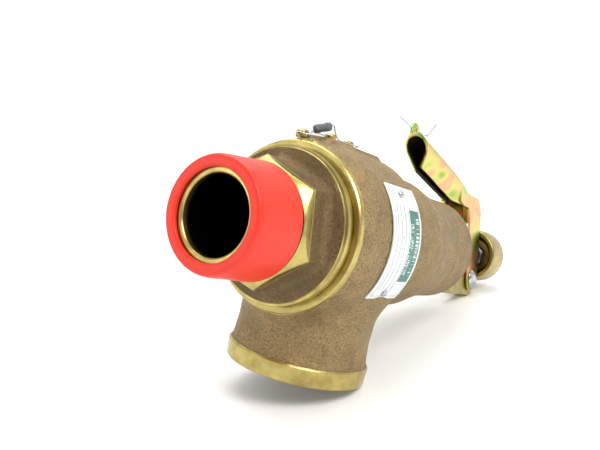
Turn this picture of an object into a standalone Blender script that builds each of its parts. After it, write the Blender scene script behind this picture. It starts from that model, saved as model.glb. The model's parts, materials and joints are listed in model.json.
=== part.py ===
"""Side-outlet safety relief valve, 1-1/2 inch male inlet by 2 inch female outlet, with lift lever.

The valve is designed upright, in millimetres: +Z runs from the inlet to the lift knob, +Y points
to the outlet and +X to the nameplate. One root empty then lays it down the way it rests on a
bench, on the back of the outlet rim and on the foot of the lever cap.
"""

import math

import bmesh
import bpy
from mathutils import Matrix, Vector

MM = 0.001
GAP = 0.3  # clearance kept between neighbours that touch
STEPS = 40  # facets around large turned pieces
FINE_STEPS = 24  # facets around small turned pieces

# Inlet nozzle and thread protector, heights from the protector's front
PROTECTOR_LENGTH = 27.8
PROTECTOR_LIP = 2.0
PROTECTOR_LIP_R = 19.4
PROTECTOR_FRONT_R = 24.9
PROTECTOR_BACK_R = 26.3
PROTECTOR_WALL = 1.3
INLET_Z = PROTECTOR_LIP + GAP
INLET_BORE_R = 17.0
THREAD_FRONT_R = 23.2
THREAD_BACK_R = 24.1
THREAD_PITCH = 2.21
HEX_FLATS = 52.2
HEX_Z = 29.2
HEX_TURN = math.radians(-9.0)
FLANGE_Z = 45.2
FLANGE_R = 37.0
FLANGE_TOP_Z = 50.8
SPIGOT_R = 32.7
SPIGOT_TOP_Z = 60.0
SEAT_NECK_R = 22.3
SEAT_R = 20.3
SEAT_Z = 80.0

# Body casting
BODY_Z = FLANGE_TOP_Z + GAP
BODY_RING_R = 40.2
BARREL_R = 43.2
BARREL_TOP_Z = 113.0
WAIST_R = 37.8
WAIST_TOP_Z = 153.0
NECK_R = 32.4
NECK_Z = 186.0
NECK_TOP_Z = 226.5
COLLAR_R = 20.4  # spigot on the neck that the lever cap fits over
COLLAR_TOP_Z = 236.0
CHAMBER_R = 35.5
SPRING_CHAMBER_R = 27.3
PAD_HALF = 8.6
PAD_R = 44.4
FRONT_PAD_R = 41.9

# Outlet branch
OUTLET_Z = 90.9
OUTLET_FACE = 70.4
OUTLET_COLLAR = 61.4
OUTLET_COLLAR_R = 36.2
OUTLET_RIM_R = 35.8
OUTLET_CAST_R = 35.2
OUTLET_THREAD_R = 28.6
OUTLET_THREAD_DEPTH = 24.0
OUTLET_BORE_R = 25.5

# Trim
SPINDLE_R = 4.8
RUNNING_R = SPINDLE_R + 0.8
RING_R = 27.5
GUIDE_RING_R = 29.0
GUIDE_BORE_R = 19.2
GUIDE_SKIRT_R = 23.9
GUIDE_FLANGE_R = 30.0
GUIDE_Z = 95.0
GUIDE_FLANGE_Z = 104.3
GUIDE_TOP_Z = 111.7
PARTITION_TOP_Z = 116.0
SPRING_WIRE_R = 3.2
SPRING_R = 20.5
SPRING_TURNS = 6.5
LOWER_WASHER_Z = 122.3
UPPER_WASHER_Z = 197.6
WASHER_HEIGHT = 6.3
COMPRESSION_R = 14.0

# Lever cap, lever and lift knob
CAP_TURN = math.radians(-10.0)
REST_ROLL = -CAP_TURN
CAP_R = 23.8
CAP_BORE_R = COLLAR_R + GAP
CAP_SHOULDER_Z = 245.0
CAP_NOSE_R = 17.0
CAP_ROOF_Z = 261.0
CAP_TOP_Z = 267.0
CAP_SCREW_R = 2.2
CAP_SCREW_Z = 231.5
CAP_SCREW_TURNS = (90, 270)
LUG_HALF = 5.6
PIVOT_Z = 300.4
PIVOT_Y = 19.2
PIVOT_R = 3.2
LUG_R = 13.0
PRONG_IN = LUG_HALF + GAP + 0.1
PRONG_OUT = PRONG_IN + 2.0
PRONG_BACK_Z = 312.3
HANDLE_SLOPE = math.radians(12.5)
HANDLE_END_Z = 201.5
HANDLE_SEAM = 48.3  # distance of the handle's lips from the axis at its open end
HANDLE_SLANT = 0.72
EAR_HOLE = (-77.0, 205.5)
SHEET = 2.0
KNOB_Z = 312.8
KNOB_R = 20.4
KNOB_RIM_R = 16.6
KNOB_TOP_Z = 343.0
LOCK_SCREW_HEAD_R = 3.0
LOCK_SCREW_HEAD = 3.2
SPLIT_PIN_X = -12.8

# Lock screws, their seal and the nameplate. Each lock screw has its turn about the axis in degrees
# from the outlet, its height, and how far from the axis its head stands and its tip reaches.
LOCK_SCREW_SHANK_R = 2.0
WIRE_HEIGHT = 1.7
LOCK_SCREWS = {
    "nozzle_lock_screw": (174.9, 55.2, FRONT_PAD_R, SPIGOT_R + 2 * GAP),
    "nozzle_ring_screw": (178.1, 75.8, PAD_R - 0.2, RING_R - 1.2),
    "guide_ring_screw": (178.7, 93.0, PAD_R - 0.2, GUIDE_RING_R - 1.1),
}
LEAD_SEAL = (2.5, -48.2, 60.9)
LEAD_SEAL_ALONG = Vector((0.5, -0.4, 0.76)).normalized()
PLATE_LOW = 76.5
PLATE_HIGH = 108.0
PLATE_START = -43.0
PLATE_END = 33.0
PLATE_SCREW_Z = 90.0
PLATE_SCREW_TURNS = (-37.0, 28.0)
PLATE_SCREW_R = 1.9


# ---------------------------------------------------------------- scene helpers


def clear_scene():
    for obj in list(bpy.data.objects):
        bpy.data.objects.remove(obj, do_unlink=True)


def new_collection(name):
    found = bpy.data.collections.get(name)
    if found is None:
        found = bpy.data.collections.new(name)
        bpy.context.scene.collection.children.link(found)
    return found


clear_scene()
PARTS = new_collection("pressure_relief_valve")
CUTTERS = new_collection("cutters")


def make_material(name, colour, metallic, roughness):
    made = bpy.data.materials.new(name)
    made.use_nodes = True
    shader = made.node_tree.nodes["Principled BSDF"]
    shader.inputs["Base Color"].default_value = (*colour, 1.0)
    shader.inputs["Metallic"].default_value = metallic
    shader.inputs["Roughness"].default_value = roughness
    return made


LOOKS = {
    "cast_bronze": ((0.35, 0.25, 0.15), 0.7, 0.6),
    "brass": ((0.78, 0.62, 0.28), 1.0, 0.3),
    "red_plastic": ((0.85, 0.07, 0.05), 0.0, 0.35),
    "steel": ((0.55, 0.55, 0.56), 1.0, 0.35),
    "yellow_zinc": ((0.72, 0.60, 0.30), 1.0, 0.3),
    "bright_zinc": ((0.75, 0.77, 0.80), 1.0, 0.2),
    "spring_steel": ((0.25, 0.27, 0.30), 1.0, 0.4),
    "lead": ((0.35, 0.36, 0.38), 1.0, 0.5),
    "plate": ((0.85, 0.86, 0.84), 0.6, 0.4),
}


def finish(obj, parent, look):
    """Put an object in its place: a part with its own material, or a cutter."""
    obj.parent = parent
    if look is None:
        CUTTERS.objects.link(obj)
        obj.hide_render = True
        obj.display_type = "WIRE"
    else:
        PARTS.objects.link(obj)
        obj.data.materials.append(make_material(obj.name, *LOOKS[look]))
    return obj


def place(obj, location=(0, 0, 0), rotation=(0, 0, 0)):
    obj.location = [c * MM for c in location]
    obj.rotation_euler = rotation
    return obj


def empty(name, parent=None, location=(0, 0, 0), rotation=(0, 0, 0)):
    made = bpy.data.objects.new(name, None)
    CUTTERS.objects.link(made)
    made.parent = parent
    return place(made, location, rotation)


# ---------------------------------------------------------------- shape helpers


def turned(name, profile, parent, look=None, steps=STEPS):
    """Turn a profile of (radius, height) points about Z. It runs down the outer side; one that
    ends on the axis stays open there, and any other closes into a ring."""
    mesh = bpy.data.meshes.new(name)
    points = [(r * MM, 0.0, z * MM) for r, z in profile]
    edges = [(i, i + 1) for i in range(len(points) - 1)]
    if profile[0][0] > 0.0:
        edges.append((len(points) - 1, 0))
    mesh.from_pydata(points, edges, [])
    obj = finish(bpy.data.objects.new(name, mesh), parent, look)
    screw = obj.modifiers.new("turn", "SCREW")
    screw.axis = "Z"
    screw.angle = math.tau
    screw.steps = steps
    screw.render_steps = steps
    screw.use_merge_vertices = True
    screw.merge_threshold = 1e-5
    screw.use_smooth_shade = True
    return obj


def washer(name, outer, inner, low, high, parent, look=None, steps=STEPS, chamfer=0.5):
    profile = [
        (inner, high),
        (outer - chamfer, high),
        (outer, high - chamfer),
        (outer, low + chamfer),
        (outer - chamfer, low),
        (inner, low),
    ]
    return turned(name, profile, parent, look, steps)


def prism(name, radius, low, high, parent, look=None, sides=6, turn=0.0):
    """Upright prism or cylinder, its first corner at +Y before the turn."""
    mesh = bpy.data.meshes.new(name)
    shape = bmesh.new()
    bmesh.ops.create_cone(
        shape,
        cap_ends=True,
        segments=sides,
        radius1=radius * MM,
        radius2=radius * MM,
        depth=(high - low) * MM,
        matrix=Matrix.Translation((0, 0, (low + high) / 2 * MM)) @ Matrix.Rotation(turn, 4, "Z"),
    )
    shape.to_mesh(mesh)
    shape.free()
    return finish(bpy.data.objects.new(name, mesh), parent, look)


def box(name, low, high, parent, look=None):
    mesh = bpy.data.meshes.new(name)
    shape = bmesh.new()
    middle = [(a + b) / 2 * MM for a, b in zip(low, high)]
    sides = [(b - a) * MM for a, b in zip(low, high)]
    bmesh.ops.create_cube(
        shape, size=1.0, matrix=Matrix.Translation(middle) @ Matrix.Diagonal((*sides, 1.0))
    )
    shape.to_mesh(mesh)
    shape.free()
    return finish(bpy.data.objects.new(name, mesh), parent, look)


def loft(name, rings, parent, look=None, closed=False):
    """Skin rings of points in order. A closed loft joins its last ring to its first."""
    mesh = bpy.data.meshes.new(name)
    shape = bmesh.new()
    rows = [[shape.verts.new([c * MM for c in point]) for point in ring] for ring in rings]
    count = len(rows[0])
    pairs = list(zip(rows, rows[1:] + rows[:1])) if closed else list(zip(rows, rows[1:]))
    for low, high in pairs:
        for i in range(count):
            j = (i + 1) % count
            shape.faces.new((low[i], low[j], high[j], high[i]))
    if not closed:
        shape.faces.new(list(reversed(rows[0])))
        shape.faces.new(rows[-1])
    bmesh.ops.recalc_face_normals(shape, faces=shape.faces)
    shape.to_mesh(mesh)
    shape.free()
    return finish(bpy.data.objects.new(name, mesh), parent, look)


def plate(name, outline, low, high, parent, look=None):
    """Flat plate across X: an outline of (y, z) points, from x = low to x = high."""
    return loft(name, [[(x, y, z) for y, z in outline] for x in (low, high)], parent, look)


def arc(centre, radius, start, end, count):
    """Points of an arc about centre, angles in degrees from the first axis to the second."""
    turns = [math.radians(start + (end - start) * i / count) for i in range(count + 1)]
    return [(centre[0] + radius * math.cos(a), centre[1] + radius * math.sin(a)) for a in turns]


def wire(name, route, radius, parent, look, sides=2):
    """Round wire along a route of points, with filled ends."""
    curve = bpy.data.curves.new(name, "CURVE")
    curve.dimensions = "3D"
    curve.bevel_depth = radius * MM
    curve.bevel_resolution = sides
    curve.use_fill_caps = True
    spline = curve.splines.new("POLY")
    spline.points.add(len(route) - 1)
    for point, at in zip(spline.points, route):
        point.co = (at[0] * MM, at[1] * MM, at[2] * MM, 1.0)
    return finish(bpy.data.objects.new(name, curve), parent, look)


def smooth_route(points, per_span=6):
    """Points along a Catmull-Rom curve through the given points."""
    held = [Vector(p) for p in (points[0], *points, points[-1])]
    route = []
    for a, b, c, d in zip(held, held[1:], held[2:], held[3:]):
        for i in range(per_span):
            t = i / per_span
            route.append(
                0.5
                * (
                    2 * b
                    + (c - a) * t
                    + (2 * a - 5 * b + 4 * c - d) * t**2
                    + (3 * b - a - 3 * c + d) * t**3
                )
            )
    route.append(held[-1])
    return route


def boolean(obj, tool, operation):
    step = obj.modifiers.new(tool.name, "BOOLEAN")
    step.operation = operation
    step.solver = "EXACT"
    step.object = tool
    return obj


def cut(obj, *tools):
    for tool in tools:
        boolean(obj, tool, "DIFFERENCE")
    return obj


def join(obj, *tools):
    for tool in tools:
        boolean(obj, tool, "UNION")
    return obj


def keep(obj, tool):
    return boolean(obj, tool, "INTERSECT")


# ---------------------------------------------------------------- how the valve rests


def reach_difference(pitch):
    """How much lower the outlet rim reaches than the cap lug's foot at a given pitch."""
    level = math.cos(pitch)
    down = Vector((math.sin(REST_ROLL) * level, math.cos(REST_ROLL) * level, math.sin(pitch)))
    rim = OUTLET_FACE * down.y + OUTLET_Z * down.z
    rim += (OUTLET_RIM_R - 0.6) * math.hypot(down.x, down.z)
    foot = PIVOT_Y * level + PIVOT_Z * math.sin(pitch) + LUG_R
    return rim - foot


def rest_pitch():
    low, high = 0.0, math.radians(30)
    for _ in range(30):
        middle = (low + high) / 2
        if reach_difference(middle) > 0:
            low = middle
        else:
            high = middle
    return low


def rest_frame():
    """Root empty that lays the valve down: its cap lug sits flat and its outlet rim touches."""
    lean = Matrix.Rotation(-math.pi / 2 - rest_pitch(), 4, "X") @ Matrix.Rotation(REST_ROLL, 4, "Z")
    return empty("rest_frame", rotation=lean.to_euler())


def centre_over_origin(root):
    """Shift the root so the valve's box is centred over the origin with its lowest edge at z = 0."""
    bpy.context.view_layer.update()
    graph = bpy.context.evaluated_depsgraph_get()
    points = []
    for obj in PARTS.objects:
        held = obj.evaluated_get(graph)
        points += [held.matrix_world @ v.co for v in held.to_mesh().vertices]
        held.to_mesh_clear()
    low = [min(p[i] for p in points) for i in range(3)]
    high = [max(p[i] for p in points) for i in range(3)]
    root.location = (-(low[0] + high[0]) / 2, -(low[1] + high[1]) / 2, -low[2])


# ---------------------------------------------------------------- inlet end


def thread_profile(low, high, low_r, high_r, pitch, depth, inside=False):
    """Zigzag down a thread from high to low: crests on the given radii, roots a depth below."""
    side = -1.0 if inside else 1.0
    count = int((high - low) / pitch)
    points = []
    for i in range(count):
        crest = high - (i + 0.5) * pitch
        root = crest - 0.5 * pitch
        share = (crest - low) / (high - low)
        radius = low_r + (high_r - low_r) * share
        points.append((radius, crest))
        points.append((radius - side * depth, root))
    return points


def thread_protector(parent):
    back_in = PROTECTOR_BACK_R - PROTECTOR_WALL
    front_in = PROTECTOR_FRONT_R - PROTECTOR_WALL
    profile = [
        (back_in, PROTECTOR_LENGTH),
        (PROTECTOR_BACK_R - 0.4, PROTECTOR_LENGTH),
        (PROTECTOR_BACK_R, PROTECTOR_LENGTH - 0.5),
        (PROTECTOR_FRONT_R + 0.5, 7.0),
        (PROTECTOR_FRONT_R, 2.0),
        (PROTECTOR_FRONT_R - 0.5, 0.7),
        (PROTECTOR_FRONT_R - 1.6, 0.0),
        (PROTECTOR_LIP_R + 0.6, 0.0),
        (PROTECTOR_LIP_R, 0.6),
        (PROTECTOR_LIP_R, PROTECTOR_LIP),
        (front_in, PROTECTOR_LIP),
    ]
    return turned("thread_protector", profile, parent, "red_plastic")


def inlet_nozzle(parent):
    """Hex nozzle: pipe thread, hexagon, flange, spigot into the body and the seat it carries."""
    profile = [
        (INLET_BORE_R, SEAT_Z),
        (SEAT_R, SEAT_Z),
        (SEAT_R, SEAT_Z - 1.6),
        (SEAT_NECK_R, SEAT_Z - 3.0),
        (SEAT_NECK_R, SPIGOT_TOP_Z),
        (SPIGOT_R, SPIGOT_TOP_Z),
        (SPIGOT_R, FLANGE_TOP_Z),
        (FLANGE_R, FLANGE_TOP_Z),
        (FLANGE_R, FLANGE_Z + 1.4),
        (FLANGE_R - 1.6, FLANGE_Z + 0.6),
        (30.5, FLANGE_Z),
        (22.6, FLANGE_Z - 3.0),
        (22.6, HEX_Z - 1.0),
        *thread_profile(INLET_Z + 1.0, HEX_Z - 1.0, THREAD_FRONT_R, THREAD_BACK_R, THREAD_PITCH, 1.2),
        (THREAD_FRONT_R - 1.2, INLET_Z),
        (INLET_BORE_R + 1.0, INLET_Z),
        (INLET_BORE_R, INLET_Z + 1.0),
    ]
    nozzle = turned("inlet_nozzle", profile, parent, "brass")
    corner = HEX_FLATS / 2 / math.cos(math.pi / 6)
    hexagon = prism("hexagon", corner, HEX_Z, FLANGE_Z + 0.8, parent, turn=HEX_TURN)
    chamfer = turned(
        "hexagon_chamfer",
        [
            (0.0, FLANGE_Z + 5.0),
            (corner + 4.0, FLANGE_Z + 5.0),
            (corner + 4.0, HEX_Z + 4.4),
            (HEX_FLATS / 2 - 0.6, HEX_Z - 0.3),
            (0.0, HEX_Z - 0.3),
        ],
        parent,
    )
    core = prism("hexagon_core", INLET_BORE_R + 2.0, HEX_Z - 2.0, FLANGE_Z + 2.0, parent, sides=STEPS)
    keep(hexagon, chamfer)
    cut(hexagon, core)
    return join(nozzle, hexagon)


# ---------------------------------------------------------------- body casting


def outlet_branch(parent):
    """Cast branch: oval where it leaves the barrel, with a long sweep to the back, round at the
    collar. Each row gives the distance from the axis and the reach sideways, forward and back."""
    rows = [
        (8.0, 36.5, 36.0, 44.5),
        (24.0, 35.2, 35.6, 42.6),
        (32.0, 34.6, 35.0, 39.0),
        (40.0, 34.1, 34.2, 36.0),
        (50.0, 33.9, 33.9, 34.2),
        (58.0, 34.5, 34.5, 34.5),
        (OUTLET_COLLAR + 0.4, OUTLET_CAST_R, OUTLET_CAST_R, OUTLET_CAST_R),
    ]
    rings = []
    for y, side, forward, back in rows:
        ring = []
        for i in range(STEPS):
            a = math.tau * i / STEPS
            reach = back if math.sin(a) > 0 else forward
            ring.append((side * math.cos(a), y, OUTLET_Z + reach * math.sin(a)))
        rings.append(ring)
    return loft("outlet_branch", rings, parent)


def screw_pad(parent):
    """Low boss along the top of the barrel that the lock screws stand on, with a step in front."""
    rows = [
        (52.4, FRONT_PAD_R - 0.8),
        (53.2, FRONT_PAD_R),
        (59.4, FRONT_PAD_R),
        (61.6, PAD_R),
        (BARREL_TOP_Z - 1.5, PAD_R),
        (BARREL_TOP_Z + 1.0, PAD_R - 3.0),
    ]
    rings = []
    for z, top in rows:
        half = [(12.6, 35.0), (11.6, top - 2.2), (PAD_HALF, top)]
        ring = [(x, -y, z) for x, y in half]
        ring += [(-x, -y, z) for x, y in reversed(half)]
        rings.append(ring)
    return loft("screw_pad", rings, parent)


def body(parent):
    outside = [
        (0.0, COLLAR_TOP_Z),
        (COLLAR_R - 0.8, COLLAR_TOP_Z),
        (COLLAR_R, COLLAR_TOP_Z - 0.8),
        (COLLAR_R, NECK_TOP_Z),
        (NECK_R - 3.2, NECK_TOP_Z),
        (NECK_R - 1.0, NECK_TOP_Z - 1.2),
        (NECK_R, NECK_TOP_Z - 4.0),
        (NECK_R, NECK_Z + 8.0),
        (NECK_R + 0.6, NECK_Z),
        (WAIST_R - 1.4, WAIST_TOP_Z + 8.0),
        (WAIST_R, WAIST_TOP_Z),
        (WAIST_R, BARREL_TOP_Z + 11.0),
        (WAIST_R + 1.2, BARREL_TOP_Z + 6.0),
        (BARREL_R - 1.0, BARREL_TOP_Z + 0.6),
        (BARREL_R, BARREL_TOP_Z - 1.4),
        (BARREL_R, 66.0),
        (BARREL_R - 1.4, 58.0),
        (BODY_RING_R + 0.2, 55.0),
        (BODY_RING_R, BODY_Z + 0.6),
        (BODY_RING_R - 0.6, BODY_Z),
        (0.0, BODY_Z),
    ]
    casting = turned("body", outside, parent, "cast_bronze")
    pad = screw_pad(parent)
    collar = turned(
        "outlet_collar",
        [
            (0.0, OUTLET_FACE),
            (OUTLET_RIM_R - 0.6, OUTLET_FACE),
            (OUTLET_RIM_R, OUTLET_FACE - 0.6),
            (OUTLET_COLLAR_R, OUTLET_COLLAR + 0.8),
            (OUTLET_COLLAR_R - 0.6, OUTLET_COLLAR),
            (OUTLET_CAST_R - 2.0, OUTLET_COLLAR),
            (OUTLET_CAST_R - 2.0, OUTLET_COLLAR - 4.0),
            (0.0, OUTLET_COLLAR - 4.0),
        ],
        parent,
    )
    place(collar, (0, 0, OUTLET_Z), (-math.pi / 2, 0, 0))
    inside = turned(
        "body_bore",
        [
            (0.0, COLLAR_TOP_Z + 1.0),
            (COMPRESSION_R + GAP, COLLAR_TOP_Z + 1.0),
            (COMPRESSION_R + GAP, 208.0),
            (SPRING_CHAMBER_R, 205.0),
            (SPRING_CHAMBER_R, PARTITION_TOP_Z),
            (12.0, PARTITION_TOP_Z),
            (12.0, GUIDE_TOP_Z + GAP),
            (GUIDE_FLANGE_R + GAP, GUIDE_TOP_Z + GAP),
            (GUIDE_FLANGE_R + GAP, GUIDE_FLANGE_Z - 1.0),
            (CHAMBER_R, GUIDE_FLANGE_Z - 5.0),
            (CHAMBER_R, SPIGOT_TOP_Z + 1.0),
            (SPIGOT_R + GAP, SPIGOT_TOP_Z),
            (SPIGOT_R + GAP, BODY_Z - 1.0),
            (0.0, BODY_Z - 1.0),
        ],
        parent,
    )
    socket = turned(
        "outlet_bore",
        [
            (0.0, OUTLET_FACE + 1.0),
            (OUTLET_THREAD_R + 1.6, OUTLET_FACE + 1.0),
            (OUTLET_THREAD_R + 0.6, OUTLET_FACE - 0.6),
            (OUTLET_THREAD_R, OUTLET_FACE - OUTLET_THREAD_DEPTH),
            (OUTLET_BORE_R, OUTLET_FACE - OUTLET_THREAD_DEPTH - 2.0),
            (OUTLET_BORE_R, 20.0),
            (0.0, 20.0),
        ],
        parent,
    )
    place(socket, (0, 0, OUTLET_Z), (-math.pi / 2, 0, 0))
    join(casting, outlet_branch(parent), collar, pad)
    cut(casting, inside, socket)
    for name, (turn, z, seat, _tip) in LOCK_SCREWS.items():
        hole = prism(name + "_hole", LOCK_SCREW_SHANK_R + GAP, 30.0, 50.0, parent, sides=16)
        place(hole, (0, 0, z), (-math.pi / 2, 0, math.radians(turn)))
        spot = LOCK_SCREW_HEAD_R + 0.9
        face = prism(name + "_face", spot, seat - GAP, 50.0, parent, sides=FINE_STEPS)
        place(face, (0, 0, z), (-math.pi / 2, 0, math.radians(turn)))
        cut(casting, hole, face)
    return casting


# ---------------------------------------------------------------- trim inside the body


def nozzle_ring(parent):
    """Adjusting ring on the nozzle's neck, with teeth for the point of its lock screw."""
    inner = SEAT_NECK_R + GAP
    profile = [(inner, 79.4), (RING_R - 2.4, 80.2), (RING_R, 78.2), (RING_R, 70.0), (inner, 70.0)]
    ring = turned("nozzle_ring", profile, parent, "brass")
    for i in range(12):
        near, far = (RING_R - 2.0, -1.6, 68.0), (RING_R + 2.0, 1.6, 77.4)
        slot = box("ring_slot_%02d" % i, near, far, parent)
        place(slot, rotation=(0, 0, math.radians(LOCK_SCREWS["nozzle_ring_screw"][0] + 90 + 30 * i)))
        cut(ring, slot)
    return ring


def guide(parent):
    """Threaded guide: flange in the body's seat and a skirt that the disc holder slides in."""
    profile = [
        (RUNNING_R, GUIDE_TOP_Z),
        (GUIDE_FLANGE_R, GUIDE_TOP_Z),
        (GUIDE_FLANGE_R, GUIDE_FLANGE_Z),
        (GUIDE_SKIRT_R, GUIDE_FLANGE_Z - 1.0),
        (GUIDE_SKIRT_R, GUIDE_Z),
        (GUIDE_BORE_R, GUIDE_Z),
        (GUIDE_BORE_R, GUIDE_TOP_Z - 4.2),
        (RUNNING_R, GUIDE_TOP_Z - 4.2),
    ]
    return turned("guide", profile, parent, "brass")


def guide_ring(parent):
    inner = GUIDE_SKIRT_R + GAP
    profile = [
        (inner, 102.6),
        (GUIDE_RING_R, 102.6),
        (GUIDE_RING_R, 89.0),
        (GUIDE_RING_R - 1.6, 87.6),
        (inner, 87.6),
    ]
    ring = turned("guide_ring", profile, parent, "brass")
    for i in range(12):
        near, far = (GUIDE_RING_R - 1.8, -1.6, 89.4), (GUIDE_RING_R + 2.0, 1.6, 96.6)
        slot = box("guide_slot_%02d" % i, near, far, parent)
        place(slot, rotation=(0, 0, math.radians(LOCK_SCREWS["guide_ring_screw"][0] + 90 + 30 * i)))
        cut(ring, slot)
    return ring


def seat_disc(parent):
    low = SEAT_Z + GAP
    profile = [
        (0.0, low + 4.0),
        (19.0, low + 4.0),
        (19.0, low + 0.5),
        (18.5, low),
        (0.0, low),
    ]
    return turned("seat_disc", profile, parent, "steel")


def disc_holder(parent):
    """Holder: a cup down over the seat disc and a stem up into the guide, drilled for the spindle."""
    low = SEAT_Z + GAP
    roof = low + 4.0 + GAP
    socket = SPINDLE_R + GAP
    profile = [
        (socket, 101.6),
        (18.4, 101.6),
        (18.8, 101.2),
        (18.8, 87.0),
        (21.4, 86.2),
        (22.4, 83.0),
        (22.4, low + 0.6),
        (21.2, low + 0.2),
        (19.0 + GAP, low + 0.6),
        (19.0 + GAP, roof),
        (0.0, roof),
    ]
    bottom = [(0.0, 88.4), (socket, 88.4)]
    return turned("disc_holder", bottom + profile, parent, "brass")


def spindle(parent):
    """Spindle: rounded point in the disc holder, collar under the spring and thread in the knob."""
    profile = [
        (0.0, 339.5),
        (SPINDLE_R - 0.8, 339.5),
        (SPINDLE_R, 338.5),
        (SPINDLE_R, LOWER_WASHER_Z - GAP),
        (9.0, LOWER_WASHER_Z - GAP),
        (9.0, 118.0),
        (8.0, 117.0),
        (SPINDLE_R, 117.0),
        (SPINDLE_R, 91.4),
        (2.6, 88.7),
        (0.0, 88.7),
    ]
    return turned("spindle", profile, parent, "steel", FINE_STEPS)


def spring(parent):
    """Helical spring with closed ends: the pitch eases to one wire thickness at each end."""
    low = LOWER_WASHER_Z + WASHER_HEIGHT + GAP + SPRING_WIRE_R
    high = UPPER_WASHER_Z - GAP - SPRING_WIRE_R
    ease = 0.12
    per_turn = 16
    count = int(SPRING_TURNS * per_turn)
    route = []
    for i in range(count + 1):
        t = i / count
        rise = 0.5 - 0.5 * math.cos(math.pi * min(max((t - ease) / (1 - 2 * ease), 0.0), 1.0))
        steady = min(max((t - ease) / (1 - 2 * ease), 0.0), 1.0)
        climb = 0.35 * rise + 0.65 * steady
        ends = (2 * SPRING_WIRE_R + 0.4) * SPRING_TURNS * ease
        share = (min(t, ease) + max(t - 1 + ease, 0.0)) / (2 * ease)
        z = low + (high - low - 2 * ends) * climb + 2 * ends * share
        a = math.tau * SPRING_TURNS * t
        route.append((SPRING_R * math.cos(a), SPRING_R * math.sin(a), z))
    return wire("spring", route, SPRING_WIRE_R, parent, "spring_steel")


def lower_spring_washer(parent):
    low = LOWER_WASHER_Z
    profile = [
        (RUNNING_R, low + WASHER_HEIGHT + 2.6),
        (SPRING_R - SPRING_WIRE_R - 1.2, low + WASHER_HEIGHT + 2.6),
        (SPRING_R - SPRING_WIRE_R - 0.6, low + WASHER_HEIGHT),
        (24.6, low + WASHER_HEIGHT),
        (24.6, low + 3.4),
        (13.0, low),
        (RUNNING_R, low),
    ]
    return turned("lower_spring_washer", profile, parent, "steel")


def upper_spring_washer(parent):
    low = UPPER_WASHER_Z
    profile = [
        (RUNNING_R, low + WASHER_HEIGHT),
        (13.0, low + WASHER_HEIGHT),
        (24.6, low + 3.0),
        (24.6, low),
        (SPRING_R - SPRING_WIRE_R - 0.6, low),
        (SPRING_R - SPRING_WIRE_R - 1.2, low - 2.6),
        (RUNNING_R, low - 2.6),
    ]
    return turned("upper_spring_washer", profile, parent, "steel")


def compression_screw(parent):
    low = UPPER_WASHER_Z + WASHER_HEIGHT + GAP
    top = CAP_ROOF_Z - 5.0
    profile = [
        (RUNNING_R, top),
        (9.0, top),
        (9.6, top - 0.6),
        (9.6, 246.0),
        (COMPRESSION_R - 1.0, 245.0),
        (COMPRESSION_R, 244.0),
        (COMPRESSION_R, low + 1.0),
        (COMPRESSION_R - 1.0, low),
        (RUNNING_R, low),
    ]
    screw = turned("compression_screw", profile, parent, "steel")
    for i in range(4):
        flat = box("square_flat_%d" % i, (8.2, -12.0, 246.4), (12.0, 12.0, top + 1.0), parent)
        place(flat, (0, 0, 0), (0, 0, math.tau * i / 4))
        cut(screw, flat)
    return screw


def hex_nut(name, flats, bore, low, high, parent, look):
    corner = flats / 2 / math.cos(math.pi / 6)
    nut = prism(name, corner, low, high, parent, look)
    rounding = turned(
        name + "_rounding",
        [
            (0.0, high + 0.1),
            (flats / 2 - 0.4, high + 0.1),
            (corner + 0.4, high - 1.6),
            (corner + 0.4, low + 1.6),
            (flats / 2 - 0.4, low - 0.1),
            (0.0, low - 0.1),
        ],
        parent,
    )
    keep(nut, rounding)
    return cut(nut, prism(name + "_bore", bore, low - 1.0, high + 1.0, parent, sides=STEPS))


# ---------------------------------------------------------------- lever cap, lever and knob


def lever_cap(parent):
    """Cap over the neck's spigot, with the lug that carries the lever's pivot."""
    low = NECK_TOP_Z + GAP
    profile = [
        (RUNNING_R + 0.6, CAP_TOP_Z),
        (CAP_NOSE_R - 1.6, CAP_TOP_Z),
        (CAP_NOSE_R, CAP_TOP_Z - 1.4),
        (CAP_R - 0.8, CAP_SHOULDER_Z + 1.6),
        (CAP_R, CAP_SHOULDER_Z - 0.6),
        (CAP_R, low + 0.6),
        (CAP_R - 0.6, low),
        (CAP_BORE_R, low),
        (CAP_BORE_R, CAP_SHOULDER_Z - 5.0),
        (CAP_NOSE_R - 4.0, CAP_ROOF_Z),
        (RUNNING_R + 0.6, CAP_ROOF_Z),
    ]
    cap = turned("lever_cap", profile, parent, "brass")
    inner = PIVOT_Y - 11.6
    outline = [
        (inner, CAP_TOP_Z - 2.6),
        (inner, PIVOT_Z + 5.6),
        (inner + 3.6, PIVOT_Z + 9.2),
        (PIVOT_Y + 7.6, PIVOT_Z + 9.2),
        *arc((PIVOT_Y, PIVOT_Z), LUG_R, 40, -20, 7),
        (30.8, 268.0),
        (28.4, 260.0),
        (23.4, 250.0),
        (18.8, 250.0),
        (15.2, CAP_TOP_Z - 4.0),
    ]
    lug = plate("pivot_lug", outline, -LUG_HALF, LUG_HALF, parent)
    hole = prism("pivot_hole", PIVOT_R + GAP, -20.0, 20.0, parent, sides=FINE_STEPS)
    place(hole, (0, PIVOT_Y, PIVOT_Z), (0, math.pi / 2, 0))
    join(cap, lug)
    cut(cap, hole)
    for turn in CAP_SCREW_TURNS:
        near, far = CAP_BORE_R - 2.0, CAP_R + 2.0
        drill = prism("cap_screw_hole_%d" % turn, CAP_SCREW_R + GAP, near, far, parent, sides=16)
        place(drill, (0, 0, CAP_SCREW_Z), (math.pi / 2, 0, math.radians(turn)))
        cut(cap, drill)
    return cap


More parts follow.
